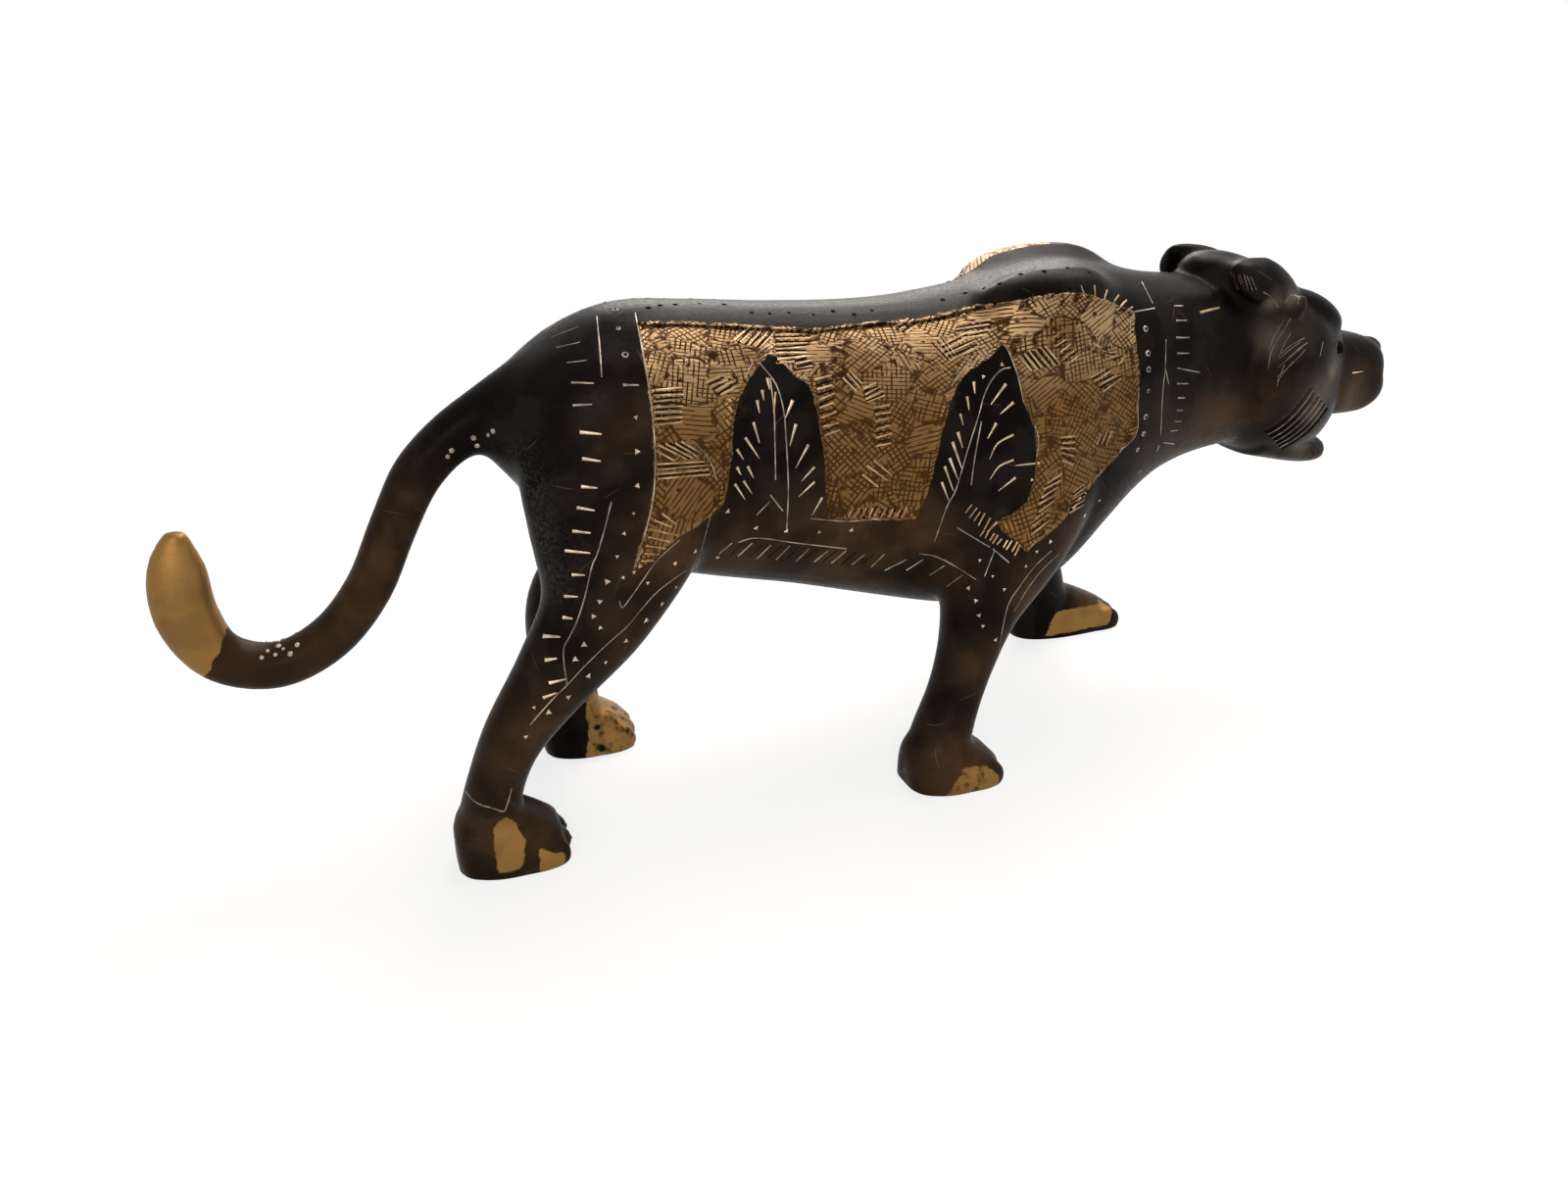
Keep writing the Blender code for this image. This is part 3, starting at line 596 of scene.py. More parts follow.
@dataclass
class Casting:
    """The one piece casting, welded from its masses at a fine grain and carved."""

    grain: float = 0.8
    blend_share: float = 0.5
    part_grain: float = 1.0
    faces: int = 190000
    sliver: float = 0.08
    shift: Vector = field(default_factory=Vector)

    def masses(self) -> list[bpy.types.Object]:
        """Every mass that the casting is welded from."""
        masses = [
            hull("trunk", TRUNK, TRUNK_FULLNESS, TRUNK_WIDEST),
            hull("skull", SKULL, HEAD_FULLNESS),
            hull("face", FACE, FACE_FULLNESS),
            hull("muzzle", MUZZLE, MUZZLE_FULLNESS, MUZZLE_WIDEST),
            hull("jaw", JAW, HEAD_FULLNESS),
            limb("tail", TAIL),
            ball("tail_lump", *TAIL_LUMP),
        ]
        for side in (-1, 1):
            rings = [Ring(r.x, side * r.y, r.z, r.fore, r.side) for r in EAR]
            masses.append(limb("ear", rings, roll=-side * EAR_SLOPE))
        masses += [limb("leg", leg) for leg in (NEAR_HIND_LEG, FAR_HIND_LEG, NEAR_FORE_LEG, FAR_FORE_LEG)]
        for size in PAWS:
            masses += self.paw(size)
        for mass in (CROWN, RUFF_KNOB, BROW_RIDGE, WHISKER_PAD, NOSE_PAD):
            masses += pair("face_mass", mass)
        return masses

    def paw(self, size: Paw) -> list[bpy.types.Object]:
        """A wedge shaped paw that ends in a row of toes."""
        length = size.toe - size.heel
        slices = []
        for share, tall, wide in PAW_SHAPE:
            top = tall * size.height
            slices.append(Slice(size.heel + share * length, top, -top, wide * size.width / 2))
        masses = [hull("paw", slices, PAW_FULLNESS, middle=size.y)]
        reach, across, height = TOE_RADII
        for k in range(TOES):
            from_middle = k - (TOES - 1) / 2
            x = size.toe - reach - TOE_SETBACK * from_middle**2
            y = size.y + from_middle * (size.width - 2 * across) / (TOES - 1)
            masses.append(ball("toe", (x, y, TOE_LEVEL), (reach, across + TOE_OVERLAP, height)))
        return masses

    def weld(self, thing: bpy.types.Object) -> None:
        """Turn overlapping masses into one skin."""
        remesh = thing.modifiers.new("weld", "REMESH")
        remesh.mode = "VOXEL"
        remesh.voxel_size = self.grain * MM
        apply_modifiers(thing)

    def soften(self, thing: bpy.types.Object) -> None:
        """Ease the skin around each join, as far as the coarser solid is eased."""
        mesh = thing.data
        places = vertex_array(mesh)
        count = len(places)
        ends = np.empty(len(mesh.edges) * 2, dtype=np.int64)
        mesh.edges.foreach_get("vertices", ends)
        starts, stops = ends[0::2], ends[1::2]
        neighbours = np.bincount(ends, minlength=count)
        finer = (self.part_grain / self.grain) ** 2
        for spot in SOFTENINGS:
            middle = np.array((spot.x, spot.y, spot.z)) * MM
            away = np.linalg.norm(places - middle, axis=1) / (spot.radius * MM)
            share = self.blend_share * np.clip(2 * (1 - away), 0, 1)
            for _ in range(round(spot.rounds * finer)):
                for axis in range(3):
                    total = np.bincount(starts, places[stops, axis], count)
                    total += np.bincount(stops, places[starts, axis], count)
                    places[:, axis] += share * (total / neighbours - places[:, axis])
        mesh.vertices.foreach_set("co", places.ravel())
        mesh.update()

    def cut_flat(self, thing: bpy.types.Object) -> None:
        """Take away what lies below the ground, and close the soles."""
        bm = bmesh.new()
        bm.from_mesh(thing.data)
        everything = bm.verts[:] + bm.edges[:] + bm.faces[:]
        ground = {"plane_co": (0, 0, 0), "plane_no": (0, 0, -1), "clear_outer": True}
        found = bmesh.ops.bisect_plane(bm, geom=everything, **ground)
        rim = [edge for edge in found["geom_cut"] if isinstance(edge, bmesh.types.BMEdge)]
        bmesh.ops.holes_fill(bm, edges=rim)
        bmesh.ops.recalc_face_normals(bm, faces=bm.faces)
        bm.to_mesh(thing.data)
        bm.free()

    def prism(self, outline: Sequence[tuple[float, float]], side: int) -> bpy.types.Object:
        """A side cutter with the given outline, on the side -1 or 1."""
        bm = bmesh.new()
        face = bm.faces.new([bm.verts.new(Vector((x, side * CUTTER_INNER, z)) * MM) for x, z in outline])
        grown = bmesh.ops.extrude_face_region(bm, geom=[face])
        moved = [part for part in grown["geom"] if isinstance(part, bmesh.types.BMVert)]
        bmesh.ops.translate(bm, vec=Vector((0, side * (CUTTER_OUTER - CUTTER_INNER), 0)) * MM, verts=moved)
        bmesh.ops.triangulate(bm, faces=bm.faces[:])
        bmesh.ops.recalc_face_normals(bm, faces=bm.faces)
        return as_object("side_cutter", bm)

    def carve(self, thing: bpy.types.Object, outlines: Iterable[Sequence[tuple[float, float]]],
              depth: float) -> None:
        """Sink the skin by depth inside each outline, on both flanks."""
        outlines = list(outlines)
        corners = np.array([point for outline in outlines for point in outline])
        low, high = (corners.min(0) - SKIN_MARGIN) * MM, (corners.max(0) + SKIN_MARGIN) * MM
        inner = bpy.data.objects.new("inner_skin", thing.data.copy())
        bpy.context.scene.collection.objects.link(inner)
        places, normals = vertex_array(inner.data), vertex_array(inner.data, "normal")
        beside = (places[:, (0, 2)] > low).all(axis=1) & (places[:, (0, 2)] < high).all(axis=1)
        beside &= np.abs(places[:, 1]) > CUTTER_INNER * MM
        places[beside] -= normals[beside] * depth * MM
        inner.data.vertices.foreach_set("co", places.ravel())
        inner.data.update()
        cutter = join("carving", [self.prism(outline, side) for outline in outlines for side in (-1, 1)])
        subtract(cutter, inner)
        subtract(thing, cutter)

    def finish(self, thing: bpy.types.Object) -> None:
        """Clear slivers, thin the skin out and centre it in the solid's box."""
        bm = bmesh.new()
        bm.from_mesh(thing.data)
        bmesh.ops.remove_doubles(bm, verts=bm.verts, dist=self.sliver * MM)
        bmesh.ops.triangulate(bm, faces=bm.faces[:])
        bm.to_mesh(thing.data)
        bm.free()
        count = len(thing.data.polygons)
        if count > self.faces:
            thin = thing.modifiers.new("thin", "DECIMATE")
            thin.ratio = self.faces / count
            apply_modifiers(thing)
        places = vertex_array(thing.data)
        low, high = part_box(NODE)
        moved = (np.array(low[:2]) + np.array(high[:2]) - places.min(0)[:2] - places.max(0)[:2]) / 2
        places[:, :2] += moved
        self.shift = Vector((*moved, 0)) / MM
        places = np.clip(places, np.array(low), np.array(high))
        thing.data.vertices.foreach_set("co", places.ravel())
        thing.data.update()

    def build(self) -> bpy.types.Object:
        """Weld, soften and carve the whole skin.

        Returns:
            The finished skin, in the frame of the solid it stands for.
        """
        skin = join("leopard_skin", self.masses())
        self.weld(skin)
        self.soften(skin)
        self.cut_flat(skin)
        for hollow in (MOUTH, EAR_HOLLOW, EYE_SOCKET, NOSTRIL):
            for cutter in pair("hollow", hollow):
                subtract(skin, cutter)
        self.carve(skin, [panel_outline()], PANEL_DEPTH)
        self.carve(skin, groove_outlines(), GROOVE_DEPTH)
        self.finish(skin)
        skin.data.materials.clear()
        skin.data.shade_smooth()
        return skin


# Cuts of the graver, as pixels of the picture: x and y of each point a cut passes, one after another
HAIR_LINES = (
    (648, 319, 656, 360, 661.4, 390, 666, 424, 668.6, 462, 667.7, 497.5, 661.4, 533, 647, 578),
    (
        1155.5, 319, 1153.6, 336.5, 1159, 367, 1161, 413, 1159, 443.7, 1136, 466.6, 1109.6, 497, 1081,
        531.7, 1048, 560,
    ),
    (976.6, 538.4, 1010, 558.5), (760.5, 386, 772.6, 362, 788, 350),
    (785.5, 357, 809.6, 379.5, 826, 388),
    (774, 369, 788, 386, 795, 400, 800, 421, 802, 445, 804.4, 496.6, 802.7, 543),
    (786, 386, 790, 419, 790.7, 445, 791.5, 489.7), (786, 505, 799, 521.6), (785.5, 512, 771.7, 526),
    (753.6, 553.4, 772.6, 549, 812, 554, 864, 560), (826.8, 529, 863.8, 532, 900, 529),
    (1012, 355.7, 1008, 361, 987, 373, 977.6, 384, 971, 394), (1029, 357.6, 1038.8, 384, 1044.5, 411),
    (1056, 434, 1059.8, 449, 1058, 466.6),
    (
        1031, 375, 1021.6, 377.7, 1012, 388, 1004.4, 403.5, 998.6, 424.5, 987, 461, 975.7, 499, 966,
        518, 953.7, 552.7,
    ),
    (1001.5, 430, 994.8, 466.6, 991, 495), (706, 449, 718.6, 462, 725.7, 472.5, 731, 488.6),
    (1190, 346, 1189, 375.5, 1186.4, 402.7, 1184.5, 444.5), (1189, 375.5, 1192.7, 391.8),
    (1165, 287, 1176.5, 309.7), (1153.6, 319, 1178.5, 314.5), (608.8, 322.5, 611.4, 351, 614, 385),
    (938, 565, 955, 568, 975, 578, 996, 591.5), (1014.7, 562, 1004.7, 588), (1013, 560, 1029.7, 574),
)

# Lines that run down the near legs
FORE_LEG_LINES = (
    (1073, 562, 1056, 578, 1041, 598, 1028, 620, 1019, 665),
    (1080, 566, 1063, 582, 1048, 602, 1035, 624),
)
HIND_LEG_LINES = (
    (
        624, 512, 617, 540, 609.6, 565, 604, 578, 597, 608, 589, 633, 581, 650, 575.4, 661, 575.4, 676,
        578, 693, 579, 699,
    ),
    (655.4, 560, 650.5, 572.6, 647, 581),
    (693.6, 551, 671.5, 571, 656, 592, 642, 612, 635, 620, 632, 613),
    (
        700, 582, 673, 602, 656, 620, 640.7, 638.6, 625, 652.6, 610, 666.6, 593, 683.5, 579, 699, 566,
        711.5, 551, 728, 541, 739.6,
    ),
    (725.7, 524, 718.6, 551, 711, 578),
    (475, 807, 481, 815, 490, 821, 503.6, 825, 513.6, 828, 517, 823, 521, 810, 522, 804.5),
)

# Bright flecks: the veins of both leaves and the corner of the mouth
VEINS = (
    (783, 386, 785.5, 397.6), (777.7, 398.5, 779.5, 408.8), (772.6, 408.8, 775, 421.7),
    (769, 431, 775, 452), (760.5, 446.7, 775, 468), (763, 476, 769, 488), (758.8, 490.6, 767.4, 504),
    (750, 494, 760.5, 510), (752, 476.8, 756, 484.6), (752, 458.7, 758.8, 469),
    (808.7, 408.8, 801, 427.7), (812, 433, 806, 455), (825, 454, 812, 477.7), (831, 476.8, 818, 491),
    (831, 492, 815, 507), (839, 508, 828.5, 526), (993.8, 390, 994.8, 401.6), (987, 405, 989, 419),
    (980, 422.6, 983, 434), (977.6, 441, 982.4, 457), (971.8, 451, 981.4, 478),
    (969, 467.6, 977.6, 489.6), (964, 476, 972.8, 501), (961, 492, 968, 510.6),
    (1026.4, 392, 1011, 413), (1034, 411, 1020.6, 422.6), (1016.8, 432, 1008, 447.5),
    (1034, 443.7, 1017.7, 453, 1010, 468.5), (1034, 469.5, 1019.7, 476, 1010, 489.6),
    (1036, 487.7, 1018.7, 501), (1060.8, 472.4, 1036, 475), (1380, 380.5, 1391, 379),
)

# Fur and edges on the head; the light lines along the ear rim and round the ruff knob are painted
# highlights
EAR_COMB = ((1256, 278, 1262, 296), (1276, 283, 1281, 297), 7)
EAR_RIM_HIGHLIGHTS = (
    (1289, 298, 1296, 302, 1301, 308, 1304, 314), (1312, 309, 1315, 303.5, 1320, 301, 1325, 303),
    (1326, 302, 1324, 311),
)
FUR_LINES = (
    (1327, 349, 1316, 357, 1305, 366), (1331, 345, 1318, 352, 1307, 361), (1329, 354, 1317, 364, 1304, 375),
    (1332, 357, 1320, 370, 1303, 385), (1320, 368, 1312, 378, 1303, 389), (1317, 340, 1311, 350, 1305, 364),
    (1310, 326, 1304, 338, 1297, 352), (1317, 325, 1310, 337, 1302, 349), (1300, 352, 1296, 364, 1294, 378),
    (1305, 333, 1300, 342, 1295, 358), (1334, 350, 1324, 357, 1313, 367), (1311, 372, 1306, 384, 1303, 394),
)
FACE_EDGE = ((1350, 349, 1347, 363.6),)

# Dashes on the neck, rump and belly, then on the thigh and in the ground
NECK_DASHES = (
    (1198, 312, 1207, 312), (1200, 327, 1211, 327), (1200, 344.5, 1213.6, 344.5),
    (1201, 360.5, 1213.6, 360.5), (1201, 375.5, 1224.5, 380), (1201, 391.5, 1212.7, 391.5),
    (1202, 406, 1209, 406), (1201, 418.7, 1207, 418.7), (1199, 430, 1205.5, 430),
    (1194.5, 440, 1202, 439), (1187, 451.5, 1198, 453), (1182.7, 454.5, 1180, 461.8),
    (562, 344, 591, 333), (567.7, 354.6, 591.8, 349), (579, 370, 599, 367.5), (583, 390, 606, 391),
    (584.6, 413.6, 604, 412.7), (636, 393, 652, 393), (903, 582, 925, 571), (925, 582, 942, 571),
    (949, 587, 964, 577), (966.5, 598, 983, 586),
)
THIGH_DASHES = (
    (592, 441, 614, 443), (594.5, 468, 613, 470.7), (593.6, 496.6, 609.6, 498), (589, 518, 607, 521),
    (584.6, 542, 603, 544), (576.6, 562, 602.5, 564.5), (584, 586.5, 597, 587), (576, 608.4, 590, 609),
    (574.7, 630, 584.5, 631.5), (554.4, 649, 572, 650), (556.5, 673.6, 568.4, 672),
    (560.7, 697, 577.5, 693), (554.4, 712, 568.4, 707),
)
GOLD_DASHES = ((1224.5, 319, 1244.5, 313.6),)
GROUND_STROKES = (
    (667.7, 531, 686, 538), (663, 540, 691, 546.6), (661.4, 548, 683, 553), (659.6, 557, 679, 560),
    (658, 565, 673, 566), (655, 572.5, 667.7, 572.5), (675.7, 524, 690, 535), (669.5, 460, 688, 470),
    (885, 475, 905, 490), (892, 470, 910, 485), (880, 484, 896, 497), (791.5, 400, 789.8, 421),
    (1118, 308, 1117, 291), (1125, 311, 1130, 296), (1132, 314, 1142, 301), (1139, 317, 1150, 306),
    (1108, 304, 1103, 291), (1146, 320, 1156, 313),
)

# Rows of like strokes: the first, the last, and how many
COMBS = (
    ((791, 341, 827, 340), (793, 371, 822, 368), 7),
    ((811, 366, 830, 363), (813, 381, 830, 378), 4),
    ((721, 391, 736, 384), (735, 404, 757, 391), 4),
    ((668, 398, 697, 396), (668, 433, 695, 431), 7),
    ((672, 453, 700, 469), (696, 451, 717, 463), 4),
    ((671, 474, 720, 470), (671, 488, 726, 484), 4),
    ((832, 388, 848, 383), (842, 445, 856, 440), 7),
    ((881, 397, 896, 391), (885, 411, 902, 404), 4),
    ((893, 415, 908, 412), (895, 455, 909, 451), 6),
    ((960, 352, 985, 340), (968, 368, 1000, 352), 4),
    ((975, 332, 1012, 326), (980, 346, 1008, 341), 4),
    ((1040, 362, 1052, 378), (1066, 352, 1082, 372), 6),
    ((1113, 385, 1127, 377), (1124, 399, 1146, 386), 4),
    ((1068, 492, 1084, 484), (1052, 545, 1068, 532), 8),
    ((870, 519, 864.7, 528.5), (925, 519, 920, 528.5), 9),
    ((991, 514, 984, 524), (1016, 532, 1008, 544), 6),
    ((1004, 541, 1000, 548), (1042, 556, 1036, 566), 9),
    ((750, 348, 765, 333), (776, 356, 790, 339), 5),
    ((910, 335, 926, 324), (926, 339, 937, 329), 3),
    ((949, 350, 966, 369), (962, 343, 975, 362), 4),
    ((1073, 346, 1083, 339), (1088, 373, 1100, 364), 5),
    ((1119, 352, 1127, 358), (1140, 371, 1150, 364), 4),
    ((1119, 454, 1125, 442), (1129, 454, 1136, 440), 3),
    ((1095, 501, 1108, 494), (1091, 524, 1106, 515), 6),
    ((1083, 446, 1098, 445), (1083, 469, 1096, 473), 5),
    ((860, 384, 873, 400), (868, 380, 880, 392), 3),
)
BELLY_COMB = ((735, 566, 748, 553), (888, 578, 903, 566), 9)

# The notched upper edge of the near ground, as x and y of its points
NOTCH_ROW = (
    652, 329.6, 691.7, 331.3, 726, 333, 786, 336.5, 827.7, 340, 855, 335, 891.5, 331, 927.8, 331, 962,
    325, 994.8, 317, 1038.8, 302, 1071, 296, 1105.7, 294,
)

# The near edge of the far ground, as pixels along the top of the back
FAR_EDGE = (
    (700, 294.5), (857, 296.7), (922, 289), (971.7, 279.9), (994.7, 273), (1010, 261), (1029, 251),
    (1048, 247), (1075, 245), (1098, 243.5),
)

# Punch marks, each a pixel
SPINE_PITS = (
    (661.5, 314), (673.6, 311.5), (689, 310.7), (714, 309.8), (739, 310.7), (767, 319), (785.5, 320),
    (805, 319), (830, 321), (850, 317.5), (871.6, 321), (889.7, 316.7), (962, 306), (985, 299),
    (1004, 294), (1020.6, 289.7), (1042.6, 280), (1065.6, 277), (1089.5, 273.4), (1111.5, 278),
)
RINGS = (
    (1169, 335.5), (1171.5, 360.5), (1172, 377), (1171.8, 399), (1169, 425.5), (1167, 442.7),
    (1161, 459), (1163, 482), (631, 335), (638, 362), (628, 316),
)
TRUNK_PUNCHES = (
    (743, 522), (771.7, 539), (802.7, 542), (836, 543), (869, 541), (1022.5, 372), (1003.4, 384.4),
    (1053, 489.6), (1122, 510.6), (1106.7, 526), (1072, 552.7), (649, 426), (650, 461), (650.7, 495.7),
    (646.6, 524),
)
HIND_PUNCHES = (
    (637, 544.5), (629.8, 568), (619.6, 593.7), (612, 614), (605.6, 629), (612.6, 640.7), (596, 658),
    (587, 673), (647, 584), (653, 578), (636, 589.5), (689, 575), (661, 595), (690, 599), (675.7, 616),
    (659.6, 633), (639, 654), (618, 676), (600.7, 690), (580, 711.5), (560, 727), (545, 722),
    (536.6, 752), (709.6, 562.7), (732, 569),
)
FORE_PUNCHES = (
    (988, 600), (995.6, 613), (999, 628), (1003, 639), (1016, 653), (1013, 588), (999.7, 571.6),
    (1047, 578), (1058, 563), (1024.7, 601.5),
)
CAST_SPECKS = (
    (483, 447), (487, 455), (503, 440), (498, 444), (461, 460), (457, 466), (273, 664), (281, 668),
    (289, 662), (296, 667), (303, 658), (267, 671), (284, 659),
)


class Limb(Enum):
    """What a mark stands on, with the middle lines of its near and far side where it is a leg."""

    TRUNK = ()
    HIND = (NEAR_HIND_LEG, FAR_HIND_LEG)
    FORE = (NEAR_FORE_LEG, FAR_FORE_LEG)

    def shift(self, height: float) -> float:
        """How far in front of its near twin the far leg stands, at a height."""
        if not self.value:
            return 0.0
        near, far = (
            np.interp(height, [ring.z for ring in leg[::-1]], [ring.x for ring in leg[::-1]])
            for leg in self.value
        )
        return float(far - near)


class Pixel(NamedTuple):
    """A place in the picture."""

    x: float
    y: float


@dataclass(frozen=True)
class View:
    """The camera that took the picture."""

    place: tuple[float, float, float] = (-112.7, -230.55, 149.8)
    pitch: float = 24.0
    heading: float = 22.0
    lens: float = 27.0
    sensor: float = 36.0
    width: int = 1600
    height: int = 1204
    clip_start: float = 10.0

    def make(self) -> None:
        """Add the camera and look through it."""
        data = bpy.data.cameras.new("picture_camera")
        data.lens = self.lens
        data.sensor_width = self.sensor
        data.clip_start = self.clip_start * MM
        camera = bpy.data.objects.new("picture_camera", data)
        camera.location = Vector(self.place) * MM
        camera.rotation_euler = (math.radians(90 - self.pitch), 0, -math.radians(self.heading))
        bpy.context.scene.collection.objects.link(camera)
        bpy.context.scene.camera = camera

    def ray(self, pixel: Pixel) -> Vector:
        """The direction in which the camera sees a pixel."""
        pitch, heading = math.radians(self.pitch), math.radians(self.heading)
        level = math.cos(pitch)
        ahead = Vector((math.sin(heading) * level, math.cos(heading) * level, -math.sin(pitch)))
        right = Vector((math.cos(heading), -math.sin(heading), 0))
        focal = self.lens / self.sensor * self.width
        across, down = pixel.x - self.width / 2, pixel.y - self.height / 2
        return (ahead * focal + right * across - right.cross(ahead) * down).normalized()

    def at_depth(self, pixel: Pixel, y: float) -> Vector:
        """Where the ray of a pixel passes the upright plane at y, in millimetres."""
        ray = self.ray(pixel)
        return Vector(self.place) + ray * ((y - self.place[1]) / ray.y)


# Nodes
@dataclass
class Nodes:
    """A node tree, with short ways to add nodes and join them."""

    tree: bpy.types.NodeTree

    def add(self, kind: str, **settings: object) -> bpy.types.Node:
        """Add a node and set its properties."""
        node = self.tree.nodes.new(kind)
        for name, value in settings.items():
            setattr(node, name, value)
        return node

    def feed(self, socket: bpy.types.NodeSocket, value: object) -> None:
        """Link an output to an input socket, or set the socket's own value."""
        if isinstance(value, bpy.types.NodeSocket):
            self.tree.links.new(value, socket)
        else:
            socket.default_value = value

    def math(self, operation: str, *values: object) -> bpy.types.NodeSocket:
        """A Math node on values and outputs."""
        node = self.add("ShaderNodeMath", operation=operation)
        for socket, value in zip(node.inputs, values):
            self.feed(socket, value)
        return node.outputs[0]

    def span(self, value: object, low: float, high: object, start: float = 0.0,
             stop: float = 1.0) -> bpy.types.NodeSocket:
        """Map a value from low and high onto start and stop, smoothly and clamped."""
        node = self.add("ShaderNodeMapRange", interpolation_type="SMOOTHSTEP")
        for socket, given in zip(node.inputs, (value, low, high, start, stop)):
            self.feed(socket, given)
        return node.outputs[0]

    def blend(self, share: object, a: object, b: object) -> bpy.types.NodeSocket:
        """Mix two colours."""
        node = self.add("ShaderNodeMix", data_type="RGBA")
        for index, value in ((0, share), (6, a), (7, b)):
            plain = isinstance(value, (bpy.types.NodeSocket, float))
            self.feed(node.inputs[index], value if plain else (*value, 1.0))
        return node.outputs[2]

    def vector(self, operation: str, *values: object, value: bool = False) -> bpy.types.NodeSocket:
        """A Vector Math node on vectors: its vector, or its value."""
        node = self.add("ShaderNodeVectorMath", operation=operation)
        for socket, given in zip(node.inputs, values):
            self.feed(socket, given)
        return node.outputs[1 if value else 0]

    def scaled(self, vector: object, scale: object) -> bpy.types.NodeSocket:
        """A vector times a number."""
        node = self.add("ShaderNodeVectorMath", operation="SCALE")
        self.feed(node.inputs[0], vector)
        self.feed(node.inputs["Scale"], scale)
        return node.outputs[0]

    def noise(self, vector: object, scale: float, detail: float = 3.0,
              colour: bool = False) -> bpy.types.NodeSocket:
        """A Noise texture: its value, or its three values as a colour."""
        node = self.add("ShaderNodeTexNoise")
        self.feed(node.inputs["Vector"], vector)
        node.inputs["Scale"].default_value = scale
        node.inputs["Detail"].default_value = detail
        return node.outputs[1 if colour else 0]

    def opposite(self, value: object) -> bpy.types.NodeSocket:
        """One minus a value."""
        return self.math("SUBTRACT", 1.0, value)

    def most(self, first: object, *others: object) -> bpy.types.NodeSocket:
        """The greatest of several values."""
        for other in others:
            first = self.math("MAXIMUM", first, other)
        return first


def new_group(name: str, kind: str, inputs: dict[str, tuple[str, object]],
              outputs: dict[str, str]) -> tuple[Nodes, bpy.types.Node, bpy.types.Node]:
    """Start a node group.

    Args:
        name: the group's name.
        kind: the kind of node tree.
        inputs: socket type and default value of each input.
        outputs: socket type of each output.

    Returns:
        The group's Nodes, the node with its inputs, and the node that takes its outputs.
    """
    tree = bpy.data.node_groups.new(name, kind)
    for label, (socket_type, value) in inputs.items():
        socket = tree.interface.new_socket(name=label, in_out="INPUT", socket_type=socket_type)
        if value is not None:
            socket.default_value = value
    for label, socket_type in outputs.items():
        tree.interface.new_socket(name=label, in_out="OUTPUT", socket_type=socket_type)
    nodes = Nodes(tree)
    return nodes, nodes.add("NodeGroupInput"), nodes.add("NodeGroupOutput")


FLOAT, VECTOR, INTEGER = "NodeSocketFloat", "NodeSocketVector", "NodeSocketInt"
GEOMETRY, MATERIAL = "NodeSocketGeometry", "NodeSocketMaterial"


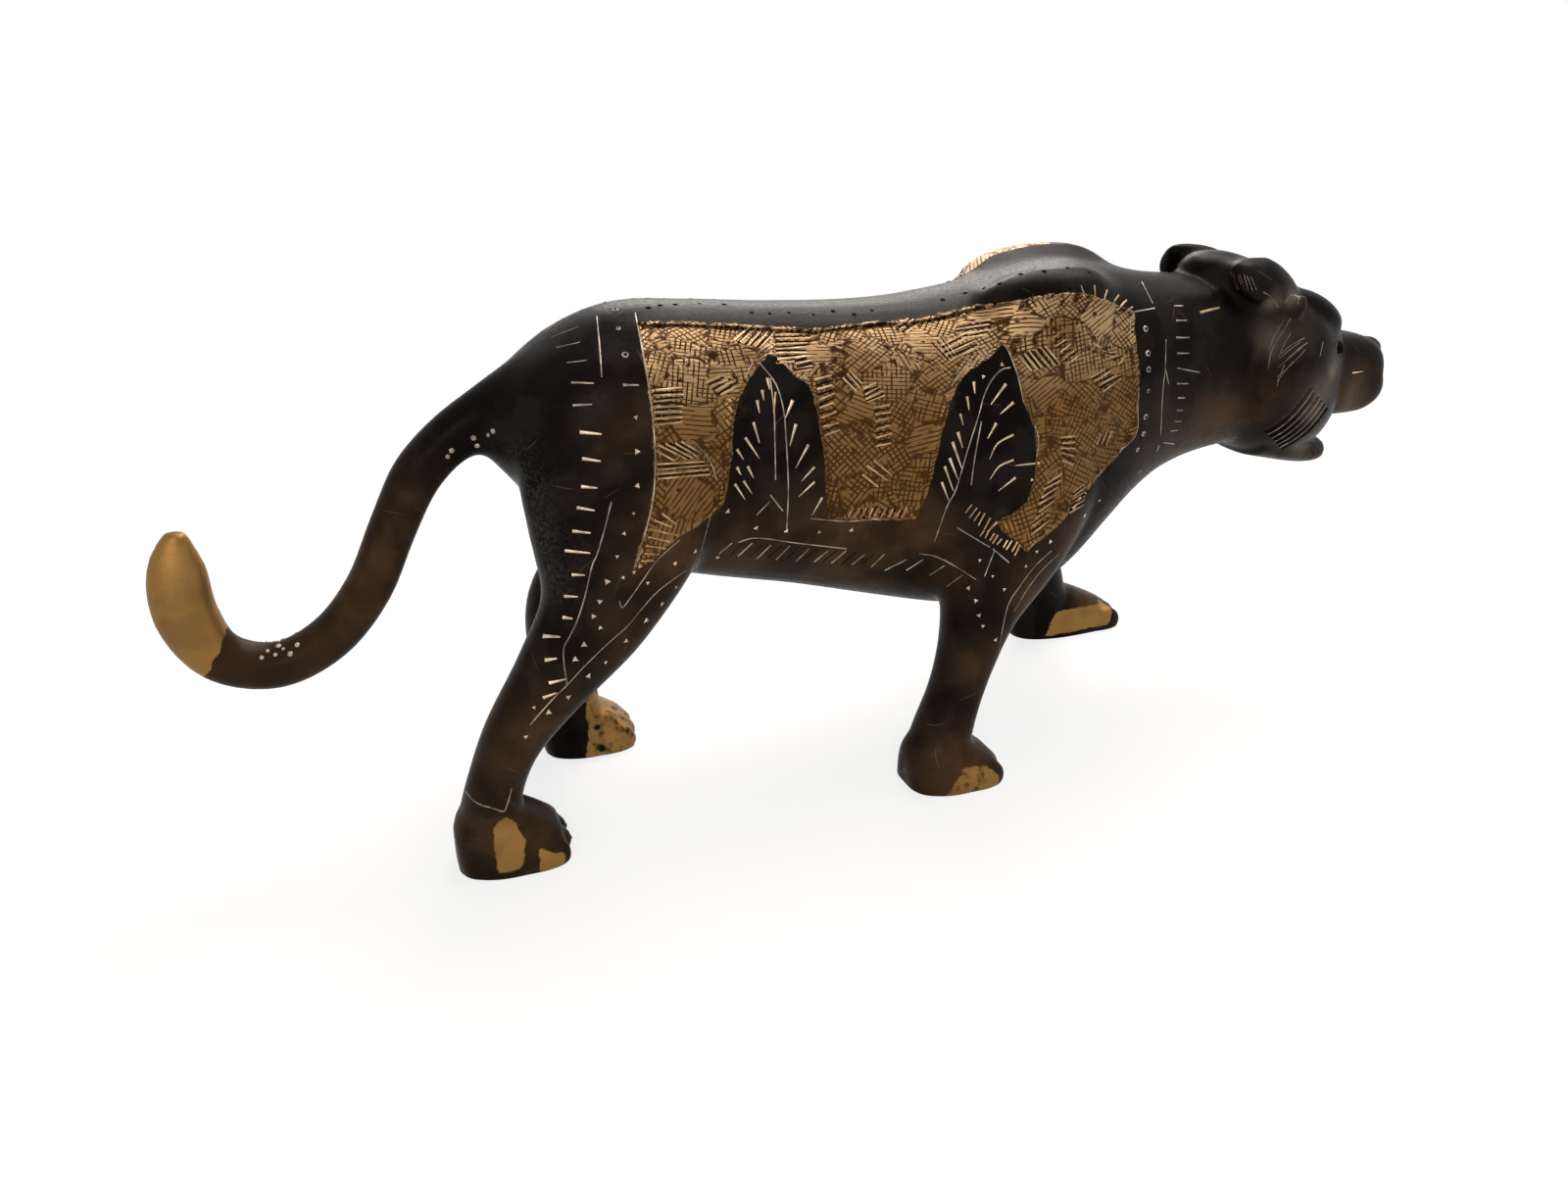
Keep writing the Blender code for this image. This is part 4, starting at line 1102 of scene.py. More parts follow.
class Effects:
    """The shader groups that the finishes share, each built once."""

    def __init__(self) -> None:
        """Build the groups."""
        self.weathering = self.build_weathering()
        self.scuffs = self.build_scuffs()
        self.hatching = self.build_hatching()

    def build_weathering(self) -> bpy.types.NodeTree:
        """Clouds and fine grain of an old cast surface."""
        nodes, given, out = new_group(
            "weathering", "ShaderNodeTree",
            {"Place": (VECTOR, None), "Cloud size": (FLOAT, 9.0), "Grain size": (FLOAT, 0.7)},
            {"Cloud": FLOAT, "Grain": FLOAT, "Height": FLOAT},
        )
        wide = nodes.math("DIVIDE", 1.0, given.outputs["Cloud size"])
        close = nodes.math("DIVIDE", 1.0, given.outputs["Grain size"])
        cloud = nodes.noise(nodes.scaled(given.outputs["Place"], wide), 1.0, 4.0)
        grain = nodes.noise(nodes.scaled(given.outputs["Place"], close), 1.0, 2.0)
        nodes.feed(out.inputs["Cloud"], nodes.span(cloud, 0.34, 0.66))
        nodes.feed(out.inputs["Grain"], nodes.span(grain, 0.3, 0.7))
        nodes.feed(out.inputs["Height"], nodes.math("MULTIPLY_ADD", grain, 0.25, cloud))
        return nodes.tree

    def build_scuffs(self) -> bpy.types.NodeTree:
        """Hair thin straight scratches, at most one to a cell."""
        nodes, given, out = new_group(
            "scuffs", "ShaderNodeTree",
            {"Place": (VECTOR, None), "Size": (FLOAT, 7.0), "Width": (FLOAT, 0.012), "Share": (FLOAT, 0.4)},
            {"Scuff": FLOAT},
        )
        place = nodes.scaled(given.outputs["Place"], nodes.math("DIVIDE", 1.0, given.outputs["Size"]))
        cells = nodes.add("ShaderNodeTexVoronoi")
        nodes.feed(cells.inputs["Vector"], place)
        cells.inputs["Scale"].default_value = 1.0
        offset = nodes.vector("SUBTRACT", place, cells.outputs["Position"])
        centred = nodes.vector("SUBTRACT", cells.outputs["Color"], (0.5, 0.5, 0.5))
        facing = nodes.vector("NORMALIZE", centred)
        away = nodes.math("ABSOLUTE", nodes.vector("DOT_PRODUCT", offset, facing, value=True))
        line = nodes.opposite(nodes.span(away, 0.0, given.outputs["Width"]))
        ends = nodes.opposite(nodes.span(cells.outputs["Distance"], 0.2, 0.42))
        kind = nodes.add("ShaderNodeSeparateColor")
        nodes.feed(kind.inputs[0], cells.outputs["Color"])
        there = nodes.math("LESS_THAN", kind.outputs[2], given.outputs["Share"])
        nodes.feed(out.inputs["Scuff"], nodes.math("MULTIPLY", nodes.math("MULTIPLY", line, ends), there))
        return nodes.tree

    def build_hatching(self) -> bpy.types.NodeTree:
        """Patches of close straight strokes, each patch at an angle of its own and most of them crossed."""
        nodes, given, out = new_group(
            "hatching", "ShaderNodeTree",
            {"Place": (VECTOR, None), "Pitch": (FLOAT, 1.05), "Patch": (FLOAT, 8.5),
             "Crossed": (FLOAT, 0.7)},
            {"Cut": FLOAT, "Patch": FLOAT, "Height": FLOAT},
        )
        straight = given.outputs["Place"]
        drift = nodes.vector("MULTIPLY", nodes.noise(straight, 0.16, 1.0, colour=True), (5.0, 5.0, 0.0))
        place = nodes.vector("ADD", straight, drift)
        wider = nodes.math("DIVIDE", 1.0, given.outputs["Patch"])
        patches = nodes.add("ShaderNodeTexVoronoi")
        borders = nodes.add("ShaderNodeTexVoronoi", feature="DISTANCE_TO_EDGE")
        for cells in (patches, borders):
            nodes.feed(cells.inputs["Vector"], place)
            nodes.feed(cells.inputs["Scale"], wider)
        kind = nodes.add("ShaderNodeSeparateColor")
        nodes.feed(kind.inputs[0], patches.outputs["Color"])
        turned = nodes.add("ShaderNodeVectorRotate", rotation_type="Z_AXIS")
        nodes.feed(turned.inputs["Vector"], straight)
        nodes.feed(turned.inputs["Angle"], nodes.math("MULTIPLY", kind.outputs[0], math.pi))
        axes = nodes.add("ShaderNodeSeparateXYZ")
        nodes.feed(axes.inputs[0], turned.outputs[0])
        turns = nodes.math("DIVIDE", 2 * math.pi, given.outputs["Pitch"])
        strokes = []
        for axis, length in ((0, (0.9, 0.22, 1.0)), (1, (0.22, 0.9, 1.0))):
            wave = nodes.math("SINE", nodes.math("MULTIPLY", axes.outputs[axis], turns))
            stretched = nodes.vector("MULTIPLY", turned.outputs[0], length)
            ends = nodes.span(nodes.noise(stretched, 1.0, 1.0), 0.38, 0.5)
            strokes.append(nodes.math("MULTIPLY", nodes.span(wave, 0.35, 0.85), ends))
        both_ways = nodes.math("LESS_THAN", kind.outputs[1], given.outputs["Crossed"])
        crossed = nodes.math("MULTIPLY", strokes[1], both_ways)
        rough = nodes.span(nodes.noise(place, 0.5, 3.0), 0.43, 0.56)
        edge = nodes.opposite(nodes.span(borders.outputs["Distance"], 0.015, 0.09))
        border = nodes.math("MULTIPLY", edge, rough)
        clump = nodes.span(nodes.noise(place, 0.42, 3.0), 0.61, 0.68)
        cut = nodes.most(strokes[0], crossed, border, clump)
        nodes.feed(out.inputs["Cut"], cut)
        nodes.feed(out.inputs["Patch"], kind.outputs[2])
        nodes.feed(out.inputs["Height"], nodes.opposite(cut))
        return nodes.tree


@dataclass(frozen=True)
class Finish:
    """What every finish has: a name, and the nodes that all of them start from."""

    name: str

    def start(self) -> tuple[Nodes, bpy.types.Node, bpy.types.Material]:
        """A new material with its shader, as its nodes, the shader and the material."""
        material = bpy.data.materials.new(self.name)
        material.use_nodes = True
        nodes = Nodes(material.node_tree)
        return nodes, material.node_tree.nodes["Principled BSDF"], material

    def effect(self, nodes: Nodes, group: bpy.types.NodeTree, place: object,
               **sizes: float) -> bpy.types.Node:
        """Place a shared effect in the material with sizes of its own."""
        node = nodes.add("ShaderNodeGroup", node_tree=group)
        nodes.feed(node.inputs["Place"], place)
        for label, value in sizes.items():
            node.inputs[label.replace("_", " ").capitalize()].default_value = value
        return node

    def place(self, nodes: Nodes) -> bpy.types.NodeSocket:
        """The place on the piece, in millimetres."""
        return nodes.scaled(nodes.add("ShaderNodeTexCoord").outputs["Object"], 1 / MM)

    def attribute(self, nodes: Nodes, name: str) -> bpy.types.Node:
        """A measure that the mesh carries."""
        return nodes.add("ShaderNodeAttribute", attribute_name=name)

    def bump(self, nodes: Nodes, shader: bpy.types.Node, height: object, depth: float) -> None:
        """Raise and sink the shading by a height, depth millimetres in all."""
        bump = nodes.add("ShaderNodeBump")
        bump.inputs["Distance"].default_value = depth * MM
        nodes.feed(bump.inputs["Height"], height)
        nodes.feed(shader.inputs["Normal"], bump.outputs[0])


@dataclass(frozen=True)
class EngravedPatina(Finish):
    """Nearly black patina, worn in places and paler where highlights are painted on, cut back to gold on
    the flanks and filed gold at the ends.

    Heights that end in "_from" and "_to" are millimetres above the ground.
    """

    name: str = "engraved_patina"
    black: tuple = (0.0030, 0.0021, 0.0016)
    dusk: tuple = (0.0100, 0.0076, 0.0058)
    brown: tuple = (0.055, 0.029, 0.0135)
    # colour of the painted highlights and reflections
    pale: tuple = (0.20, 0.165, 0.13)
    scratch: tuple = (0.20, 0.15, 0.10)
    gold: tuple = (0.36, 0.235, 0.120)
    old_gold: tuple = (0.175, 0.092, 0.033)
    low_gold: tuple = (0.172, 0.082, 0.024)
    filed: tuple = (0.24, 0.130, 0.038)
    groove: tuple = (0.026, 0.010, 0.003)
    verdigris: tuple = (0.075, 0.080, 0.068)
    light_from: float = 84.0
    light_to: float = 98.0
    metal: float = 0.9
    gloss: float = 0.03
    roughness: tuple[float, float] = (0.30, 0.42)
    cleared_roughness: float = 0.5
    scuffed: float = 0.3
    relief: float = 0.22

    def dress(self, effects: Effects) -> bpy.types.Material:
        """Build the material."""
        nodes, shader, material = self.start()
        place = self.place(nodes)
        skin = self.effect(nodes, effects.weathering, place)
        ragged = nodes.math("MULTIPLY_ADD", nodes.noise(place, 0.45), 3.0, -1.5)
        depth = nodes.math("MULTIPLY_ADD", ragged, 0.35, self.attribute(nodes, "ground").outputs["Fac"])
        ground = nodes.span(depth, -0.55, -0.2)
        depth = nodes.math("MULTIPLY_ADD", ragged, 0.5, self.attribute(nodes, "gilt").outputs["Fac"])
        gilt = nodes.span(depth, -0.15, 0.3)
        hatch = self.effect(nodes, effects.hatching, self.attribute(nodes, "flank").outputs["Vector"])
        engraved = self.engraved(nodes, place, skin, hatch)
        dulled = nodes.span(skin.outputs["Cloud"], 0.2, 1.0, 0.0, 0.75)
        filed = nodes.blend(dulled, self.filed, self.old_gold)
        patina = self.patina(nodes, effects, place, skin)
        colour = nodes.blend(gilt, nodes.blend(ground, patina, engraved), filed)
        nodes.feed(shader.inputs["Base Color"], colour)
        cleared = nodes.most(ground, gilt)
        nodes.feed(shader.inputs["Metallic"], nodes.math("MULTIPLY", cleared, self.metal))
        worn = nodes.span(skin.outputs["Grain"], 0.0, 1.0, *self.roughness)
        rough = nodes.most(worn, nodes.math("MULTIPLY", cleared, self.cleared_roughness))
        nodes.feed(shader.inputs["Roughness"], rough)
        shader.inputs["Specular IOR Level"].default_value = self.gloss
        carved = nodes.math("MULTIPLY", ground, hatch.outputs["Height"])
        height = nodes.math("MULTIPLY_ADD", skin.outputs["Height"], 0.5, carved)
        self.bump(nodes, shader, height, self.relief)
        return material

    def patina(self, nodes: Nodes, effects: Effects, place: object,
               skin: bpy.types.Node) -> bpy.types.NodeSocket:
        """The colour of the dark skin: worn, greened and scratched in places, and paler where highlights
        and reflections are painted on.
        """
        thinned = nodes.span(skin.outputs["Cloud"], 0.0, 0.9, 0.55, 1.0)
        warm = nodes.math("MULTIPLY", self.attribute(nodes, "warm").outputs["Fac"], thinned)
        spotted = nodes.span(skin.outputs["Grain"], 0.2, 0.9)
        green = nodes.math("MULTIPLY", self.attribute(nodes, "green").outputs["Fac"], spotted)
        scuff = self.effect(nodes, effects.scuffs, place)
        clouded = nodes.span(skin.outputs["Cloud"], 0.3, 1.0, 0.0, 0.8)
        dark = nodes.blend(clouded, self.black, self.dusk)
        # painted highlights and reflections: the skin turns pale where the pale measure is strong
        pale = nodes.math("MULTIPLY", self.attribute(nodes, "pale").outputs["Fac"], thinned)
        colour = nodes.blend(green, nodes.blend(warm, dark, self.brown), self.verdigris)
        colour = nodes.blend(pale, colour, self.pale)
        scratched = nodes.math("MULTIPLY", scuff.outputs["Scuff"], self.scuffed)
        return nodes.blend(scratched, colour, self.scratch)

    def engraved(self, nodes: Nodes, place: object, skin: bpy.types.Node,
                 hatch: bpy.types.Node) -> bpy.types.NodeSocket:
        """The colour of the hatched ground, paler and cut more sharply higher up."""
        axes = nodes.add("ShaderNodeSeparateXYZ")
        nodes.feed(axes.inputs[0], place)
        high = nodes.span(axes.outputs[2], self.light_from, self.light_to)
        clouded = nodes.span(skin.outputs["Cloud"], 0.1, 0.9, 0.4, 1.0)
        tone = nodes.math("MULTIPLY", hatch.outputs["Patch"], clouded)
        upper = nodes.blend(tone, self.gold, self.old_gold)
        metal = nodes.blend(high, nodes.blend(tone, self.old_gold, self.low_gold), upper)
        cut = nodes.math("MULTIPLY", hatch.outputs["Cut"], nodes.math("MULTIPLY_ADD", high, 0.15, 0.85))
        return nodes.blend(cut, metal, self.groove)


@dataclass(frozen=True)
class Cut(Finish):
    """Metal laid bare by a tool, tarnished here and there; made near black and matte, it gives painted
    shade and the dark of pits.
    """

    bright: tuple
    dull: tuple
    metallic: float = 0.75
    roughness: float = 0.38
    gloss: float = 0.5
    duller: float = 0.2
    relief: float = 0.08

    def dress(self, effects: Effects) -> bpy.types.Material:
        """Build the material."""
        nodes, shader, material = self.start()
        skin = self.effect(nodes, effects.weathering, self.place(nodes), cloud_size=3.0, grain_size=0.4)
        nodes.feed(shader.inputs["Base Color"], nodes.blend(skin.outputs["Cloud"], self.bright, self.dull))
        rough = nodes.span(skin.outputs["Grain"], 0.0, 1.0, self.roughness, self.roughness + self.duller)
        nodes.feed(shader.inputs["Roughness"], rough)
        shader.inputs["Metallic"].default_value = self.metallic
        shader.inputs["Specular IOR Level"].default_value = self.gloss
        self.bump(nodes, shader, skin.outputs["Height"], self.relief)
        return material


class Tone(Enum):
    """The finishes of the tool marks, and of the painted shade between them."""

    BRIGHT = Cut("bright_cut", (0.64, 0.50, 0.36), (0.34, 0.24, 0.15))
    FAINT = Cut("faint_cut", (0.40, 0.34, 0.27), (0.13, 0.105, 0.08), 0.6)
    GOLD = Cut("gold_cut", (0.50, 0.34, 0.20), (0.24, 0.14, 0.07))
    HAIR = Cut("hair_cut", (0.17, 0.14, 0.105), (0.06, 0.048, 0.036), 0.5)
    # near-black matte strokes: painted shade in the gaps of each comb, and the dark of ring pits, spine
    # pits and edge notches
    DARK = Cut("dark_cut", (0.006, 0.004, 0.003), (0.016, 0.009, 0.005), 0.0, 0.8, 0.0)


# What the skin carries for its finish
class WearOrHighlightSpot(NamedTuple):
    """A spot of wear, brown or green, or a pale spot of painted highlight: its pixel, its radius in
    millimetres and its strength.
    """

    x: float
    y: float
    radius: float
    strength: float


# Places worn brown and greened, then pale spots that are painted highlights and reflections
WARM = (
    WearOrHighlightSpot(640, 440, 8, 0.5), WearOrHighlightSpot(690, 560, 12, 0.9), WearOrHighlightSpot(650, 640, 10, 0.5), WearOrHighlightSpot(545, 755, 12, 0.8),
    WearOrHighlightSpot(500, 850, 12, 0.6), WearOrHighlightSpot(545, 845, 12, 0.9), WearOrHighlightSpot(770, 560, 12, 0.7), WearOrHighlightSpot(860, 555, 14, 0.9),
    WearOrHighlightSpot(930, 545, 10, 0.8), WearOrHighlightSpot(1010, 680, 8, 0.9), WearOrHighlightSpot(1000, 740, 8, 0.8), WearOrHighlightSpot(985, 790, 12, 1.0),
    WearOrHighlightSpot(1050, 600, 8, 0.7), WearOrHighlightSpot(1090, 540, 8, 0.7), WearOrHighlightSpot(970, 590, 7, 0.7), WearOrHighlightSpot(1235, 435, 10, 0.9),
    WearOrHighlightSpot(1262, 425, 7, 0.8), WearOrHighlightSpot(1290, 395, 6, 0.5), WearOrHighlightSpot(1325, 400, 7, 0.3), WearOrHighlightSpot(1112, 619, 6, 1.0),
    WearOrHighlightSpot(1148, 634, 6, 1.0), WearOrHighlightSpot(1385, 400, 7, 0.9), WearOrHighlightSpot(1340, 460, 7, 0.5), WearOrHighlightSpot(1320, 345, 6, 0.5),
    WearOrHighlightSpot(380, 600, 14, 0.9), WearOrHighlightSpot(330, 670, 12, 0.9), WearOrHighlightSpot(240, 680, 12, 0.8), WearOrHighlightSpot(410, 530, 10, 0.6),
    WearOrHighlightSpot(1190, 440, 8, 0.6),
)
GREEN = (WearOrHighlightSpot(535, 500, 6, 0.25), WearOrHighlightSpot(545, 545, 6, 0.3), WearOrHighlightSpot(556, 585, 6, 0.25), WearOrHighlightSpot(530, 475, 5, 0.2))
# Painted highlights and reflections, as pale spots on the skin
PAINTED_HIGHLIGHTS = (
    WearOrHighlightSpot(1352, 397, 4.5, 0.55), WearOrHighlightSpot(1359, 379, 3.5, 0.5), WearOrHighlightSpot(1343, 420, 4, 0.45), WearOrHighlightSpot(1336, 449, 5, 0.35),
    WearOrHighlightSpot(1318, 305, 2.2, 0.55), WearOrHighlightSpot(1299, 307, 2.4, 0.5), WearOrHighlightSpot(1300, 345, 4, 0.3), WearOrHighlightSpot(740, 592, 6, 0.22),
    WearOrHighlightSpot(800, 598, 6, 0.22), WearOrHighlightSpot(870, 602, 6, 0.18), WearOrHighlightSpot(1383, 405, 4, 0.25), WearOrHighlightSpot(1010, 700, 4, 0.2),
)


class GoldFace(NamedTuple):
    """A filed face: its outline in the picture, how far across it lies and the reach across that it fills.

    The last value is how deep it counts at most, in millimetres: with little of it the face is patchy.
    """

    outline: tuple[float, ...]
    across: float
    low: float
    high: float
    deepest: float = 9.0


GOLD_FACES = (
    GoldFace((120, 520, 190, 520, 215, 590, 232, 648, 205, 700, 120, 700), -6, -9, 9),
    GoldFace(
        (506, 858, 511, 848, 520, 845, 532, 852, 539, 864, 535, 886, 527, 893, 509, 895), -32, -40, -24,
    ),
    GoldFace((550, 864, 577, 870, 577, 881, 550, 888), -30, -40, -21),
    GoldFace((600, 716, 640, 706, 664, 730, 668, 756, 650, 776, 600, 780, 604, 750), 6, 6, 32, 0.2),
    GoldFace((1083, 628, 1137, 622, 1143, 626, 1134, 640, 1072, 654), 18, 18, 42),
    GoldFace(
        (954, 807, 974, 775, 999, 773, 1009, 782, 1011, 793, 1000, 804, 972, 811), -34, -45, -24, 0.22,
    ),
)


@dataclass
class Engraving:
    """The tool marks: where each lies on the skin, and the pieces made of them.

    Args:
        skin: what they are cut in.
        view: the camera that their pixels are seen through.
        offset: from the outlines of the casting to the frame, in millimetres.
        step: pixels between the points of a path.
        jitter: how far a stroke of a comb strays, in pixels.
        bead_sides: how many sides a bead has.
        sunk: the share of a bead's radius that lies below the skin.
        beside: how far from the middle plane rays from the side start, in millimetres.
        cuts: the cuts laid so far, by tone, as places and radii.
        marks: the marks punched so far, by kind.
        chance: the source of every random number.
    """

    skin: bpy.types.Object
    view: View
    offset: Vector
    step: float = 3.0
    jitter: float = 1.3
    bead_sides: int = 6
    sunk: float = 0.75
    beside: float = 80.0
    cuts: dict[Tone, list] = field(default_factory=dict)
    marks: dict[str, list] = field(default_factory=dict)
    chance: random.Random = field(default_factory=lambda: random.Random(7))

    def __post_init__(self) -> None:
        """Index the skin for rays."""
        mesh = self.skin.data
        places = [vertex.co / MM for vertex in mesh.vertices]
        self.tree = BVHTree.FromPolygons(places, [tuple(face.vertices) for face in mesh.polygons])

    def near(self, pixel: Pixel) -> tuple[Vector, Vector] | None:
        """Where the camera sees the skin at a pixel: place and outward normal, or nothing."""
        place, normal, _, _ = self.tree.ray_cast(Vector(self.view.place), self.view.ray(pixel))
        return (place, normal) if place is not None else None

    def far(self, place: Vector, limb: Limb) -> tuple[Vector, Vector] | None:
        """The twin of a place on the near flank, on the far flank or the far leg."""
        start = Vector((place.x + limb.shift(place.z), self.beside, place.z))
        twin, normal, _, _ = self.tree.ray_cast(start, Vector((0, -1, 0)))
        return (twin, normal) if twin is not None else None

    def trace(self, path: Sequence[float]) -> list[Pixel]:
        """Pixels close together along a path."""
        points = [Pixel(*pair) for pair in zip(path[0::2], path[1::2])]
        length = sum(math.dist(a, b) for a, b in zip(points, points[1:]))
        spans = max(1, round(length / self.step / (len(points) - 1)))
        return refine(points, spans)

    def cut(self, tone: Tone, path: Sequence[float], width: float, taper: float,
            limb: Limb = Limb.TRUNK) -> None:
        """Lay a cut on the near flank and its twin on the far one.

        Args:
            tone: its finish.
            path: the pixels it passes.
            width: its width at the start, in millimetres.
            taper: the share of the width that is lost by its end.
            limb: what it stands on.
        """
        hits = [hit for hit in map(self.near, self.trace(path)) if hit]
        twins = [twin for twin in (self.far(place, limb) for place, _ in hits) if twin]
        for run in (hits, twins):
            self.lay(tone, run, width, taper)

    def lay(self, tone: Tone, run: Sequence[tuple[Vector, Vector]], width: float, taper: float) -> None:
        """Keep a cut along a run of places on the skin."""
        if len(run) < 2:
            return
        radius = width / 2 / math.sqrt(1 - self.sunk**2)
        radii = [radius * (1 - taper * k / (len(run) - 1)) for k in range(len(run))]
        places = [place - normal * self.sunk * r for (place, normal), r in zip(run, radii)]
        self.cuts.setdefault(tone, []).append((places, radii))

    def ridges(self, tone: Tone, width: float, taper: float = 0.3, spans: int = 8) -> None:
        """Lay a line on each ridge between the grooves of both cheeks."""
        grooves = list(groove_outlines())
        for one, two in zip(grooves, grooves[1:]):
            corners = [Vector(((a[0] + b[0]) / 2, 0, (a[1] + b[1]) / 2)) for a, b in zip(one, two)]
            start, stop = (corners[0] + corners[3]) / 2, (corners[1] + corners[2]) / 2
            line = [start.lerp(stop, k / spans) + self.offset for k in range(spans + 1)]
            for side in (-self.beside, self.beside):
                inward = Vector((0, -side, 0))
                cast = [self.tree.ray_cast(Vector((point.x, side, point.z)), inward) for point in line]
                run = [(place, normal) for place, normal, _, _ in cast if place is not None]
                self.lay(tone, run, width, taper)

    def comb(self, tone: Tone, row: tuple, width: float, taper: float = 0.3) -> None:
        """Cut a row of like strokes, with near-black strokes of painted shade in the gaps between them."""
        first, last, count = row
        for k in range(2 * count - 1):
            share = k / (2 * count - 2)
            path = [
                a + share * (b - a) + self.chance.uniform(-self.jitter, self.jitter)
                for a, b in zip(first, last)
            ]
            # every second stroke is painted shade
            self.cut(Tone.DARK if k % 2 else tone, path, width, taper)

    def punch(self, kind: str, pixels: Iterable[tuple[float, float]], size: float,
              limb: Limb = Limb.TRUNK) -> None:
        """Set punch marks of a kind on both flanks."""
        for pixel in pixels:
            hit = self.near(Pixel(*pixel))
            twin = self.far(hit[0], limb) if hit else None
            for found in (hit, twin):
                if found:
                    self.marks.setdefault(kind, []).append((found[0], found[1], size))

    def sweep_tree(self) -> bpy.types.NodeTree:
        """Geometry nodes that sweep a bead along each path."""
        nodes, given, out = new_group(
            "swept_cut", "GeometryNodeTree",
            {"Paths": (GEOMETRY, None), "Sides": (INTEGER, self.bead_sides), "Finish": (MATERIAL, None)},
            {"Cuts": GEOMETRY},
        )
        curves = nodes.add("GeometryNodeMeshToCurve")
        nodes.feed(curves.inputs[0], given.outputs["Paths"])
        radius = nodes.add("GeometryNodeInputNamedAttribute", data_type="FLOAT")
        radius.inputs["Name"].default_value = "radius_here"
        profile = nodes.add("GeometryNodeCurvePrimitiveCircle")
        nodes.feed(profile.inputs["Resolution"], given.outputs["Sides"])
        profile.inputs["Radius"].default_value = 1.0
        sweep = nodes.add("GeometryNodeCurveToMesh")
        nodes.feed(sweep.inputs["Curve"], curves.outputs[0])
        nodes.feed(sweep.inputs["Profile Curve"], profile.outputs["Curve"])
        nodes.feed(sweep.inputs["Scale"], radius.outputs["Attribute"])
        sweep.inputs["Fill Caps"].default_value = True
        self.close_tree(nodes, given, out, sweep.outputs["Mesh"])
        return nodes.tree

    def stamp_tree(self) -> bpy.types.NodeTree:
        """Geometry nodes that stamp a low blunt cone square to the skin at each point."""
        nodes, given, out = new_group(
            "stamped_marks", "GeometryNodeTree",
            {"Points": (GEOMETRY, None), "Sides": (INTEGER, 3), "Top": (FLOAT, 0.1), "Rise": (FLOAT, 0.3),
             "Spread": (FLOAT, 0.25), "Seed": (INTEGER, 3), "Finish": (MATERIAL, None)},
            {"Marks": GEOMETRY},
        )
        points = nodes.add("GeometryNodeMeshToPoints")
        nodes.feed(points.inputs["Mesh"], given.outputs["Points"])
        facing = nodes.add("GeometryNodeInputNamedAttribute", data_type="FLOAT_VECTOR")
        facing.inputs["Name"].default_value = "facing"
        size = nodes.add("GeometryNodeInputNamedAttribute", data_type="FLOAT")
        size.inputs["Name"].default_value = "size"
        square = nodes.add("FunctionNodeAlignRotationToVector", axis="Z")
        nodes.feed(square.inputs["Vector"], facing.outputs["Attribute"])
        spin = nodes.add("FunctionNodeAxisAngleToRotation")
        spin.inputs["Axis"].default_value = (0, 0, 1)
        nodes.feed(spin.inputs["Angle"], self.random_value(nodes, given, 0.0, 2 * math.pi))
        turned = nodes.add("FunctionNodeRotateRotation", rotation_space="LOCAL")
        nodes.feed(turned.inputs["Rotation"], square.outputs["Rotation"])
        nodes.feed(turned.inputs["Rotate By"], spin.outputs["Rotation"])
        cone = nodes.add("GeometryNodeMeshCone")
        nodes.feed(cone.inputs["Vertices"], given.outputs["Sides"])
        nodes.feed(cone.inputs["Radius Top"], given.outputs["Top"])
        cone.inputs["Radius Bottom"].default_value = 1.0
        nodes.feed(cone.inputs["Depth"], given.outputs["Rise"])
        spread = nodes.math("MULTIPLY", self.random_value(nodes, given, -1.0, 1.0), given.outputs["Spread"])
        stamps = nodes.add("GeometryNodeInstanceOnPoints")
        nodes.feed(stamps.inputs["Points"], points.outputs[0])
        nodes.feed(stamps.inputs["Instance"], cone.outputs["Mesh"])
        nodes.feed(stamps.inputs["Rotation"], turned.outputs["Rotation"])
        uneven = nodes.math("ADD", spread, 1.0)
        nodes.feed(stamps.inputs["Scale"], nodes.math("MULTIPLY", size.outputs["Attribute"], uneven))
        self.close_tree(nodes, given, out, stamps.outputs["Instances"])
        return nodes.tree

    def random_value(self, nodes: Nodes, given: bpy.types.Node, low: float,
                     high: float) -> bpy.types.NodeSocket:
        """A random number for each point, from the tree's own seed."""
        value = nodes.add("FunctionNodeRandomValue", data_type="FLOAT")
        value.inputs[2].default_value = low
        value.inputs[3].default_value = high
        nodes.feed(value.inputs["Seed"], given.outputs["Seed"])
        return value.outputs[1]

    def close_tree(self, nodes: Nodes, given: bpy.types.Node, out: bpy.types.Node,
                   geometry: object) -> None:
        """End a tree: make the instances real and dress them."""
        real = nodes.add("GeometryNodeRealizeInstances")
        nodes.feed(real.inputs[0], geometry)
        dressed = nodes.add("GeometryNodeSetMaterial")
        nodes.feed(dressed.inputs["Geometry"], real.outputs[0])
        nodes.feed(dressed.inputs["Material"], given.outputs["Finish"])
        nodes.feed(out.inputs[0], dressed.outputs[0])

    def grow(self, name: str, mesh: bpy.types.Mesh, tree: bpy.types.NodeTree,
             values: dict[str, object]) -> bpy.types.Object:
        """Run a tree on a mesh and keep what it makes as a plain piece.

        Args:
            name: the piece's name.
            mesh: the points or paths.
            tree: the geometry nodes.
            values: what its named inputs get.

        Returns:
            The piece, without a modifier.
        """
        piece = bpy.data.objects.new(name, mesh)
        bpy.context.scene.collection.objects.link(piece)
        modifier = piece.modifiers.new(tree.name, "NODES")
        modifier.node_group = tree
        for item in tree.interface.items_tree:
            if item.in_out == "INPUT" and item.name in values:
                modifier[item.identifier] = values[item.name]
        apply_modifiers(piece)
        return piece

